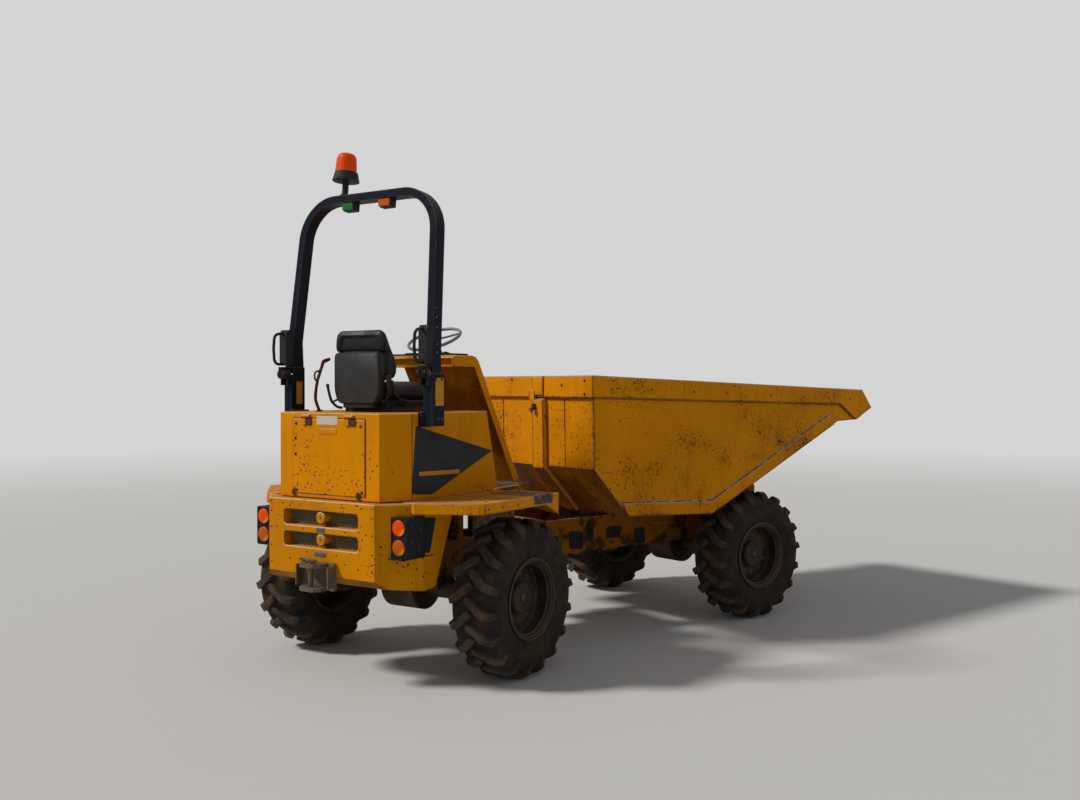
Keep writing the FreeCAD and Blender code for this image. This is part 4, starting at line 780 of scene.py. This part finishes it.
padded("seat_back_pad", shaped(back, back_shape), ("seat_back",))

# The seat's moulded rear shell, with screws round its edge
shell_low, shell_high = (Vector(corner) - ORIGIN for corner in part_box("seat_shell"))
shell_rear, shell_half, shell_top = shell_low.x, shell_high.y, shell_high.z
shell_foot = shell_low.z + 0.026
shell_outline = [(shell_half, shell_top), (-shell_half, shell_top), (-shell_half, shell_foot + 0.075),
    (-shell_half + 0.03, shell_foot), (shell_half - 0.03, shell_foot), (shell_half, shell_foot + 0.075)]
bm = bmesh.new()
middle_z = (shell_top + shell_foot) / 2.0
# columns: distance in front of the rear face, scale of the outline
skin(bm, [[R(shell_rear + x, y * k, middle_z + (z - middle_z) * k)
    for y, z in rounded(shell_outline, 0.034, 4)] for x, k in ((0.0, 0.955), (0.003, 0.975), (0.01, 0.995),
    (0.02, 1.0), (0.052, 1.0))])
block(bm, (shell_rear + 0.012, shell_rear + 0.07), (-0.12, 0.12), (shell_low.z + 0.001, 1.664), chamfer=0.006)
joined("seat_shell_moulding", bm, "shell", replaces=("seat_shell",))
bm = bmesh.new()
for y, z in ((0.155, 1.938), (0.0, 1.938), (-0.155, 1.938), (0.15, 1.694), (0.0, 1.684), (-0.15, 1.694),
             (0.08, 1.8), (-0.085, 1.8)):
    add_disc(bm, R(shell_rear - 0.0005, y, z), (-1, 0, 0),
             [(0.0065, -0.004), (0.0065, 0.0008), (0.004, 0.0026)], 12)
joined("seat_screws", bm, "bolt")

# Seat frame: recliner rods beside the shell, cushion tubes, slide rails, cross tube and a curved stalk
bm = bmesh.new()
for side in (1, -1):
    for y, radius, path in ((0.199, 0.0065, ((-0.473, 1.818), (-0.465, 1.784), (-0.46, 1.744),
            (-0.451, 1.712), (-0.473, 1.675), (-0.505, 1.66))), (0.221, 0.0075,
            ((-0.443, 1.79), (-0.436, 1.755), (-0.412, 1.715), (-0.369, 1.675), (-0.249, 1.658),
            (-0.06, 1.664)))):
        add_tube(bm, curve_through([R(x, side * y, z) for x, z in path], 5), radius, 10)
    block(bm, (-0.475, -0.44), (side * 0.204, side * 0.216), (1.7, 1.825), chamfer=0.004)
    block(bm, (-0.4, -0.02), (side * 0.15, side * 0.176), (1.597, 1.622), chamfer=0.003)
    for z in (1.805, 1.725):
        add_bolt(bm, R(-0.457, side * 0.2162, z), (0, side, 0), 0.008)
add_tube(bm, [R(-0.3, -0.226, 1.64), R(-0.3, 0.226, 1.64)], 0.008, 10)
stalk = [R(x, 0.205, z) for x, z in ((-0.555, 1.753), (-0.543, 1.71), (-0.52, 1.66), (-0.473, 1.626),
    (-0.43, 1.618))]
add_tube(bm, curve_through(stalk, 5), 0.0085, 8)
add_disc(bm, stalk[0], stalk[0] - stalk[1], [(0.0085, -0.004), (0.011, 0.002), (0.011, 0.01), (0.006, 0.015)],
    14)
joined("seat_frame", bm, "steel")

# Decal, blank labels and the plate: thin sheets laid on what carries them
SHEET = 0.0008


def flat_sheet(name, points, out, finish, body="chassis"):
    bm = bmesh.new()
    out = Vector(out)
    add_prism(bm, [p + out * SHEET / 2.0 for p in points], out * SHEET)
    joined(name, bm, finish, body, smooth=None)


bonnet_side_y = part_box("bonnet")[0][1] - ORIGIN.y
wedge = rounded([(-0.571, 1.522), (0.194, 1.341), (-0.421, 1.11), (-0.611, 1.126)], 0.016, 4)
flat_sheet("decal_wedge", [R(x, bonnet_side_y, z) for x, z in wedge], (0, -1, 0), "decal")
flat_sheet("decal_stripe", [R(x, bonnet_side_y - 0.001, z) for x, z in ((-0.541, 1.251), (-0.155, 1.242),
    (-0.155, 1.218), (-0.541, 1.228))], (0, -1, 0), "stripe")
flat_sheet("blank_plate", [R(DOOR_FACE, y, z) for y, z in ((0.087, 1.526), (-0.079, 1.526), (-0.079, 1.576),
    (0.087, 1.576))], (-1, 0, 0), "plate", "door")
POST_OUT = 0.603
for name, y, x0, x1 in (("label_right", -POST_OUT, -0.503, -0.427),
        ("label_left", POST_OUT - 0.064, -0.493, -0.444)):
    flat_sheet(name, [R(x, y, z) for x, z in rounded([(x0, 1.803), (x1, 1.803), (x1, 1.64), (x0, 1.64)],
        0.006, 3)], (0, -1, 0), "label")

# Rear door: hinge straps, latches and the bolts along its edges
bm = bmesh.new()
for y in (0.154, -0.199):
    block(bm, (DOOR_FACE - 0.006, DOOR_FACE - 0.0002), (y - 0.024, y + 0.024), (1.52, 1.56), chamfer=0.002)
joined("door_straps", bm, "rust", "door")
bolts("door_bolts", "door", [([R(DOOR_FACE, y, z) for y, z in (
    (0.262, 1.53), (-0.262, 1.52), (0.268, 1.345), (0.256, 1.128), (-0.234, 1.125), (0.268, 1.44),
    (-0.268, 1.135))], (-1, 0, 0), 0.0065, True)])
bm = bmesh.new()
for y, z in ((0.282, 1.112), (-0.24, 1.11)):
    add_disc(bm, R(DOOR_FACE, y, z), (-1, 0, 0), [(0.02, -0.001), (0.018, 0.0015), (0.01, 0.0025)], 16)
joined("door_latches", bm, "rust", "door")

# The seam of the bonnet's side panel
bm = bmesh.new()
top_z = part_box("bonnet")[1][2] - ORIGIN.z
block(bm, (-0.6065, -0.6015), (bonnet_side_y - 0.0006, bonnet_side_y + 0.0005), (1.088, top_z - 0.004))
joined("bonnet_seams", bm, "steel")

# Counterweight: wire mesh in the slots, capped lugs between them, bolts and small blank plates
CW_REAR = -0.835
SLOTS = [(0.796, 0.884), (0.924, 1.017)]
MESH_X = -0.7725
WIRE_PITCH = 0.021
WIRE_SLOPE = 0.9
SLOT_HALF = 0.294
bm = bmesh.new()
for low_z, high_z in SLOTS:
    rise = high_z - low_z
    for way in (1, -1):
        for i in range(-5, 29):
            y = -SLOT_HALF + i * WIRE_PITCH
            ends = [max(-SLOT_HALF, min(SLOT_HALF, y + rise * WIRE_SLOPE * t)) for t in (0.0, 1.0)]
            climb = [(e - y) / WIRE_SLOPE for e in ends]
            heights = [low_z + up if way > 0 else high_z - up for up in climb]
            if ends[1] - ends[0] > 0.004:
                add_tube(bm, [R(MESH_X - 0.0012 * way, e, h) for e, h in zip(ends, heights)], 0.0028, 5)
joined("slot_mesh", bm, "mesh")
lugs, holes, backing = bmesh.new(), bmesh.new(), bmesh.new()
for low_z, high_z in SLOTS:
    mid = (low_z + high_z) / 2.0 + 0.0045
    block(backing, (MESH_X + 0.0028, MESH_X + 0.0038), (-0.298, 0.298), (low_z + 0.0005, high_z - 0.0005))
    add_disc(lugs, R(CW_REAR + 0.004, 0.0, mid), (-1, 0, 0),
             [(0.0385, -0.06), (0.0385, -0.006), (0.0365, -0.001), (0.0345, 0.0015), (0.02, 0.002)], 40)
    add_disc(holes, R(CW_REAR + 0.0019, -0.001, mid + 0.002), (-1, 0, 0),
             [(0.0095, -0.001), (0.0095, 0.0008), (0.006, 0.001)], 20)
block(holes, (CW_REAR - 0.0025, CW_REAR + 0.001), (-0.046, 0.045), (0.749, 0.774), chamfer=0.001)
block(holes, (CW_REAR - 0.0018, CW_REAR + 0.001), (-0.039, 0.029), (0.893, 0.918), chamfer=0.0008)
joined("slot_lugs", lugs, "weight")
joined("slot_backing", backing, "core", smooth=None)
joined("slot_lug_holes", holes, "tag")
bolts("counterweight_bolts", "chassis", [([R(CW_REAR, y, z) for y, z in
      [(s * 0.405, z) for s in (1, -1) for z in (0.69, 0.79, 0.9, 1.0, 1.055)] +
      [(y, 1.05) for y in (-0.33, -0.17, 0.16, 0.31)] + [(y, 0.905) for y in (-0.36, -0.2, 0.14, 0.36)] +
      [(0.25, 0.72), (-0.3, 0.7), (0.11, 0.77), (-0.13, 0.768), (-0.2, 0.72)]], (-1, 0, 0), 0.0032, True)])

# Rear lamps: domed lenses in black surrounds, with a shelf below and a stay in front
LAMP_FACE = -0.765
LAMP_Y = 0.5465
LAMP_ROWS = {"upper": (0.948, "red"), "lower": (0.835, "amber")}
rims = bmesh.new()
for row, (lamp_z, finish) in LAMP_ROWS.items():
    bm = bmesh.new()
    for side in (1, -1):
        centre = R(LAMP_FACE, side * LAMP_Y, lamp_z)
        at = frame_at(centre, (-1, 0, 0))
        dome = [(0.0464, 0.004)] + [(0.0455 * math.cos(a), 0.004 + 0.0098 * math.sin(a))
            for a in circle(32)[1:8]]
        add_disc(bm, centre, (-1, 0, 0), [(0.0464, -0.001)] + dome + [(0.002, 0.0138)], 48)
        for r0, r1, h in ((0.0466, 0.0535, 0.0035), (0.047, 0.0505, 0.0062)):
            skin(rims, [[at @ polar(r, a, z) for a in circle(40)] for r, z in ((r0, -0.0005), (r1, -0.0005),
                (r1, h), (r0, h))], closed=True)
    joined("lamp_lenses_" + row, bm, finish, replaces=("lamps_" + row,), smooth=60)
for side in (1, -1):
    y0, y1 = side * 0.4905, side * 0.6025
    for z in (0.7775, 0.8895, 1.0015):
        block(rims, (LAMP_FACE - 0.005, LAMP_FACE + 0.001), (y0, y1), (z - 0.0025, z + 0.0025), chamfer=0.001)
    for y in (y0 + side * 0.0025, y1 - side * 0.0025):
        block(rims, (LAMP_FACE - 0.005, LAMP_FACE + 0.001), (y - 0.0025, y + 0.0025), (0.778, 1.001),
            chamfer=0.001)
    shelf_rear = -0.8 if side < 0 else LAMP_FACE
    block(rims, (shelf_rear, -0.52), (side * 0.585, side * 0.603), (0.7685, 0.7745), chamfer=0.0015)
    block(rims, (shelf_rear, -0.6005), (side * 0.4902, side * 0.603), (0.7685, 0.7745), chamfer=0.0015)
    stay = [(-0.598, 0.995), (-0.505, 0.985), (-0.56, 0.79), (-0.598, 0.79)]
    add_prism(rims, [R(x, side * 0.6005, z) for x, z in rounded(stay, 0.012, 3)],
        Vector((0, side * 0.006, 0)))
joined("lamp_surrounds", rims, "plastic")
for side, name in ((1, "left"), (-1, "right")):
    bolts("lamp_screws_" + name, "chassis", [([R(LAMP_FACE, side * y, z) for y in (0.5, 0.593)
        for z in (0.993, 0.785)], (-1, 0, 0), 0.0035, False), ([R(x, side * 0.603, z)
        for x, z in ((-0.72, 0.95), (-0.72, 0.87), (-0.66, 0.82), (-0.64, 0.93))], (0, side, 0), 0.005,
        True)])

# Tow jaw: bolts, the pin and its handle
bm = bmesh.new()
add_disc(bm, R(-0.912, 0.0, 0.548), UP, [(0.0125, 0.0), (0.0143, 0.004), (0.0143, 0.18), (0.013, 0.186)], 24)
grip = [R(-0.912, 0.02, 0.729), R(-0.912, 0.062, 0.735), R(-0.92, 0.08, 0.744), R(-0.932, 0.07, 0.75),
        R(-0.936, 0.02, 0.749), R(-0.932, -0.04, 0.744), R(-0.92, -0.052, 0.738), R(-0.912, -0.02, 0.731)]
add_tube(bm, curve_through(grip, 5), 0.0055, 10)
add_tube(bm, [R(-0.912, -0.024, 0.73), R(-0.912, 0.024, 0.73)], 0.006, 10)
for side in (1, -1):
    for z in (0.6, 0.68):
        add_bolt(bm, R(-0.8595, side * 0.112, z), (-1, 0, 0), 0.0085)
    for z in (0.615, 0.67):
        add_disc(bm, R(-0.885, side * 0.13, z), (0, side, 0), [(0.011, -0.001), (0.011, 0.001),
            (0.006, 0.002)], 16)
joined("tow_pin", bm, "jaw")

# Roll frame: bolts at the feet, over the fold and up the legs
FOLD_Z = JOINTS["roll_frame_fold"]["pos_m"][2] - ORIGIN.z
HOOP_LEAN = 0.0536 / (2.958 - FOLD_Z)
for side, name in ((1, "left"), (-1, "right")):
    bolts("roll_frame_bolts_" + name, "chassis", [([R(x, side * (POST_OUT + 0.0002), z)
        for x, z in ((-0.48, 1.56), (-0.445, 1.56), (-0.5, 1.795), (-0.445, 1.795))], (0, side, 0), 0.0065,
        True), ([R(x, side * (POST_OUT - 0.0642), 1.56) for x in (-0.48, -0.445)], (0, -side, 0), 0.0065,
        True), ([R(-0.571, side * 0.6095, FOLD_Z)], (0, side, 0), 0.011, True)])
    bolts("hoop_studs_" + name, "hoop", [([R(x, side * (POST_OUT - 0.0004 - HOOP_LEAN * (z - FOLD_Z)), z)
        for x, z in ((-0.475, 2.215), (-0.475, 2.161), (-0.475, 2.099), (-0.481, 2.001), (-0.481, 1.951))],
        (0, side, 0), 0.0045, False)], "brass")

# Hand lever: a red-brown sleeve along the bent bar, and its loop
bm = bmesh.new()
add_tube(bm, curve_through([R(x, 0.33, z + 0.005) for x, z in (
    (-0.502, 1.596), (-0.535, 1.668), (-0.529, 1.735), (-0.514, 1.795), (-0.48, 1.87), (-0.464, 1.906),
    (-0.41, 1.922))], 5), 0.0098, 10)
add_tube(bm, curve_through([R(x, 0.33, z) for x, z in ((-0.484, 1.85), (-0.52, 1.848), (-0.54, 1.834),
    (-0.54, 1.8), (-0.525, 1.79), (-0.512, 1.775))], 4), 0.006, 8)
joined("hand_lever_sleeve", bm, "grip")

# Steering wheel: a thin rim, three spokes and a cap, in mid grey as a painted reflection on black plastic
turn_joint = JOINTS["steering_wheel_turn"]
wheel_centre, wheel_axis = Vector(turn_joint["pos_m"]), Vector(turn_joint["axis"])
wheel_at = frame_at(wheel_centre, wheel_axis)
bm = bmesh.new()
add_tube(bm, [wheel_at @ polar(0.1792, a) for a in circle(64)], 0.0105, 12, closed=True)
for turn in circle(3):
    spoke = [wheel_at @ polar(r, turn - math.pi / 2.0, h)
             for r, h in ((0.02, -0.004), (0.08, -0.004), (0.14, -0.001), (0.18, 0.0))]
    add_tube(bm, curve_through(spoke, 4), 0.0072, 8)
add_disc(bm, wheel_centre, wheel_axis, [(0.03, -0.014), (0.036, -0.008), (0.036, 0.006), (0.03, 0.011),
    (0.012, 0.0135)], 32)
joined("steering_wheel_ring", bm, "grey", "steering_handwheel", ("steering_wheel",))

# Instruments: gauges set in the panel, warning lamps and switches
panel_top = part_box("instrument_panel")[1][2] - ORIGIN.z
bm, glass = bmesh.new(), bmesh.new()
for x, y, r in ((0.19, 0.15, 0.04), (0.19, 0.06, 0.026), (0.19, -0.01, 0.026)):
    spot = R(x, y, panel_top)
    add_disc(bm, spot, UP, [(r + 0.006, -0.001), (r + 0.006, 0.006), (r + 0.002, 0.009), (r, 0.006)], 36)
    add_disc(glass, spot, UP, [(r * 0.98, 0.001), (r * 0.98, 0.0065), (r * 0.8, 0.0068)], 36)
for k in range(4):
    add_disc(glass, R(0.2, -0.075 - 0.03 * k, panel_top), UP, [(0.009, -0.001), (0.009, 0.004),
        (0.006, 0.006)], 20)
for k in range(3):
    spot = R(0.13, -0.1 - 0.045 * k, panel_top + 0.004)
    add_box(bm, Matrix.Translation(spot) @ Matrix.Rotation(0.16, 4, "Y"), (0.036, 0.022, 0.012), 0.002)
joined("gauge_bezels", bm, "plastic")
joined("gauge_glass", glass, "clear")

# Beacon: fluted lens with a cap, square to the raked bar
low, high = (Vector(c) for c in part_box("beacon_lens"))
RAKE = math.radians(6.2)
lean_axis = Vector((math.sin(RAKE), 0, math.cos(RAKE)))
lens_h = 0.129
foot = (low + high) / 2.0 - lean_axis * lens_h / 2.0
bm = bmesh.new()
sections = []
# columns: height, radius, depth of the flutes
for h, r, flute in ((0.0005, 0.067, 0.0), (0.004, 0.068, 0.0), (0.008, 0.0672, 0.0012),
        (0.05, 0.0645, 0.0012), (0.09, 0.0612, 0.0012), (0.1, 0.0595, 0.0006), (0.112, 0.054, 0.0),
        (0.121, 0.043, 0.0), (0.1265, 0.026, 0.0), (0.128, 0.008, 0.0)):
    at = frame_at(foot + lean_axis * h, lean_axis)
    sections.append([at @ polar(r + flute * math.cos(24 * a), a) for a in circle(96)])
skin(bm, sections)
joined("beacon_fluted_lens", bm, "beacon", "hoop", ("beacon_lens",), smooth=50)

# Deck: dark anti-slip patches, a grab loop by the step and bolts along the lips
deck_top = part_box("deck_right")[1][2] - ORIGIN.z
bm, patch = bmesh.new(), bmesh.new()
for side in (1, -1):
    add_prism(patch, [R(x, side * y, deck_top + 0.0004) for x, y in rounded(
        [(0.01, 0.951), (0.01, 0.62), (0.225, 0.62), (0.225, 0.951)], 0.006, 3)], UP * 0.0015)
    add_prism(patch, [R(x, side * 0.9504, z) for x, z in ((0.01, deck_top + 0.0018),
        (0.232, deck_top + 0.0018), (0.222, 1.026), (0.02, 1.034))], Vector((0, side * 0.0012, 0)))
    loop = [R(-0.045, side * 0.7, 1.084), R(-0.045, side * 0.7, 1.118), R(0.05, side * 0.7, 1.124),
            R(0.19, side * 0.7, 1.124), R(0.222, side * 0.7, 1.11), R(0.225, side * 0.7, 1.084)]
    add_tube(bm, curve_through(loop, 6), 0.008, 12)
joined("deck_patches", patch, "patch", smooth=None)
joined("deck_grab_loops", bm, "yellow")
for side, rear_x, name in ((1, -0.36, "left"), (-1, -0.515, "right")):
    bolts("deck_bolts_" + name, "chassis", [([R(x, side * 0.95, 1.05)
        for x in (rear_x + 0.06, rear_x + 0.2, rear_x + 0.36)], (0, side, 0), 0.0048, True),
        ([R(x, side * y, deck_top) for x, y in ((rear_x + 0.1, 0.9), (-0.2, 0.9), (0.26, 0.9), (-0.2, 0.56),
        (0.1, 0.56))], UP, 0.0048, True)])

# Front chassis: dark sheets of painted shade for openings in the side plates, stiffeners and hoses
PLATE_Y = 0.35
CUTS = [
    ((0.36, 0.7), (0.507, 0.69), (0.507, 0.556), (0.373, 0.568)),
    ((0.536, 0.761), (0.606, 0.756), (0.607, 0.614), (0.537, 0.62)),
    ((0.733, 0.704), (0.893, 0.701), (0.875, 0.616), (0.728, 0.613)),
    ((1.007, 0.671), (1.128, 0.673), (1.134, 0.543), (1.021, 0.549)),
    ((1.533, 0.621), (1.591, 0.616), (1.577, 0.56))]
opening_shade, stiff, hose = bmesh.new(), bmesh.new(), bmesh.new()
for side in (1, -1):
    for outline in CUTS:
        add_prism(opening_shade, [F(x, side * (PLATE_Y + 0.0003), z) for x, z in rounded(outline, 0.03, 4)],
            FRONT_Y * side * 0.001)
    add_prism(stiff, [F(x, side * PLATE_Y, z) for x, z in ((1.15, 0.706), (1.52, 0.68), (1.52, 0.562),
        (1.298, 0.571))], FRONT_Y * side * 0.008)
    for drop, y in ((0.0, 0.36), (0.018, 0.375)):
        path = [F(0.2, side * 0.25, 0.56 - drop), F(0.33, side * 0.33, 0.54 - drop),
            F(0.43, side * y, 0.515 - drop), F(0.52, side * y, 0.468 - drop),
            F(0.6, side * (y - 0.03), 0.462 - drop), F(0.72, side * 0.31, 0.52)]
        add_tube(hose, curve_through(path, 6), 0.009, 10)
joined("front_plate_opening_shade", opening_shade, "core", "front_chassis", smooth=None)
joined("front_plate_stiffeners", stiff, "chassis", "front_chassis", smooth=None)
joined("front_hoses", hose, "plastic", "front_chassis")

# Skip: broken weld lines, rib plates over the band, bolts and the eye on the right rib
REAR_IN = 0.1
BAND_Y = 0.942
CREASE_Y = 0.9275
RIB_YS = (0.09, -0.62, 0.62)
bm = bmesh.new()
for y in RIB_YS:
    add_tube(bm, [F(REAR_IN - 0.0003, y, 1.665), F(REAR_IN + 0.011, y, 1.195)], 0.0022, 6)
for side in (1, -1):
    for x in (0.95, 1.75, 2.45):
        rim_z = 1.826 - (x - 0.1) * 0.104 / 2.97
        add_tube(bm, [F(x, side * (BAND_Y + 0.0002), rim_z - 0.012),
            F(x, side * (BAND_Y + 0.0002), rim_z - 0.125)], 0.0018, 6)
    block(bm, (0.0668, 0.079), (side * 0.3, side * 0.42), (1.69, 1.8255), F, 0.002)
joined("skip_welds", bm, "skip", "skip_body")
bm = bmesh.new()
for z in [1.19 + 0.0265 * k for k in range(18)]:
    for y in RIB_YS:
        if random.random() < 0.45:
            x = REAR_IN - 0.0016 + (1.665 - z) * 0.024
            add_tube(bm, [F(x, y + random.uniform(-0.001, 0.001), z),
                F(x - 0.0004, y, z + random.uniform(0.01, 0.024))], 0.0026, 6)
crease = [(0.36, 0.953), (1.255, 0.911), (2.672, 1.527)]
for side in (1, -1):
    for (x0, z0), (x1, z1) in zip(crease, crease[1:]):
        steps = int(math.hypot(x1 - x0, z1 - z0) / 0.045)
        for k in range(steps):
            if random.random() < 0.7:
                a, b = k / steps, (k + random.uniform(0.5, 1.0)) / steps
                add_tube(bm, [F(x0 + (x1 - x0) * t, side * CREASE_Y, z0 + (z1 - z0) * t + 0.002)
                    for t in (a, b)], random.uniform(0.0022, 0.0042), 6)
joined("skip_beads", bm, "chip", "skip_body")
rib = [F(0.0665 + (1.657 - z) * 0.0257, y, z) for z in (1.6, 1.5, 1.38, 1.28) for y in (-0.36, 0.36)]
bolts("skip_bolts", "skip_body", [
    ([F(0.078, y, z) for y, z in ((0.62, 1.79), (-0.05, 1.8), (-0.62, 1.76), (-0.86, 1.79), (-0.86, 1.7))],
     -FRONT_X, 0.007, True), (rib, -FRONT_X, 0.005, True)] + [
    ([F(x, side * BAND_Y, 1.745 - (x - 0.1) * 0.035) for x in (0.3, 0.62, 1.05, 1.4, 1.9, 2.3, 2.62, 2.9)],
     FRONT_Y * side, 0.0055, True) for side in (1, -1)])
bm = bmesh.new()
block(bm, (0.04, 0.0665), (-0.345, -0.325), (1.59, 1.63), F, 0.002)
block(bm, (0.028, 0.046), (-0.352, -0.318), (1.58, 1.6), F, 0.002)
add_tube(bm, [F(0.036, -0.335, 1.583), F(0.036, -0.335, 1.563)], 0.006, 10)
joined("skip_rib_bracket", bm, "steel", "skip_body")

# The floor and the light
floor = bpy.data.objects.new("studio_floor", bpy.data.meshes.new("studio_floor"))
bm = bmesh.new()
bmesh.ops.create_circle(bm, cap_ends=True, radius=60.0, segments=96)
bm.to_mesh(floor.data)
bm.free()
bpy.context.scene.collection.objects.link(floor)
BACKDROP = (0.66, 0.66, 0.66, 1.0)
s = Shader("studio_floor")
far = s.step(s.vector("LENGTH", "Value", s.place), 7.0, 26.0)
s.finish((0.62, 0.615, 0.6), 0.9)
glow = s.node("ShaderNodeEmission", {"Color": BACKDROP, "Strength": 1.0})
mixed = s.node("ShaderNodeMixShader", {0: far, 1: s.bsdf.outputs[0], 2: glow.outputs[0]})
s.tree.links.new(mixed.outputs[0], s.out.inputs["Surface"])
floor.data.materials.append(s.mat)

world = bpy.data.worlds.new("studio")
bpy.context.scene.world = world
world.use_nodes = True
w = Shader("studio_air", world.node_tree)
path = w.node("ShaderNodeLightPath").outputs
seen = w.most(*(path["Is %s Ray" % kind] for kind in ("Camera", "Glossy", "Transmission")))
soft = w.node("ShaderNodeBackground", {"Color": (0.92, 0.95, 1.0, 1.0), "Strength": 0.21})
plain = w.node("ShaderNodeBackground", {"Color": BACKDROP, "Strength": 1.0})
choose = w.node("ShaderNodeMixShader", {0: seen, 1: soft.outputs[0], 2: plain.outputs[0]})
w.node("ShaderNodeOutputWorld", {"Surface": choose.outputs[0]})


def sun(name, strength, angle, direction, colour):
    data = bpy.data.lights.new(name, "SUN")
    data.energy = strength
    data.angle = math.radians(angle)
    data.color = colour
    lamp = bpy.data.objects.new(name, data)
    lamp.rotation_euler = Vector(direction).to_track_quat("-Z", "Y").to_euler()
    bpy.context.scene.collection.objects.link(lamp)


sun("key", 2.6, 8.0, (0.5, -0.56, -0.66), (1.0, 0.97, 0.92))
sun("fill", 0.16, 60.0, (0.35, 0.8, -0.45), (0.93, 0.96, 1.0))
bpy.context.scene.view_settings.view_transform = "Standard"
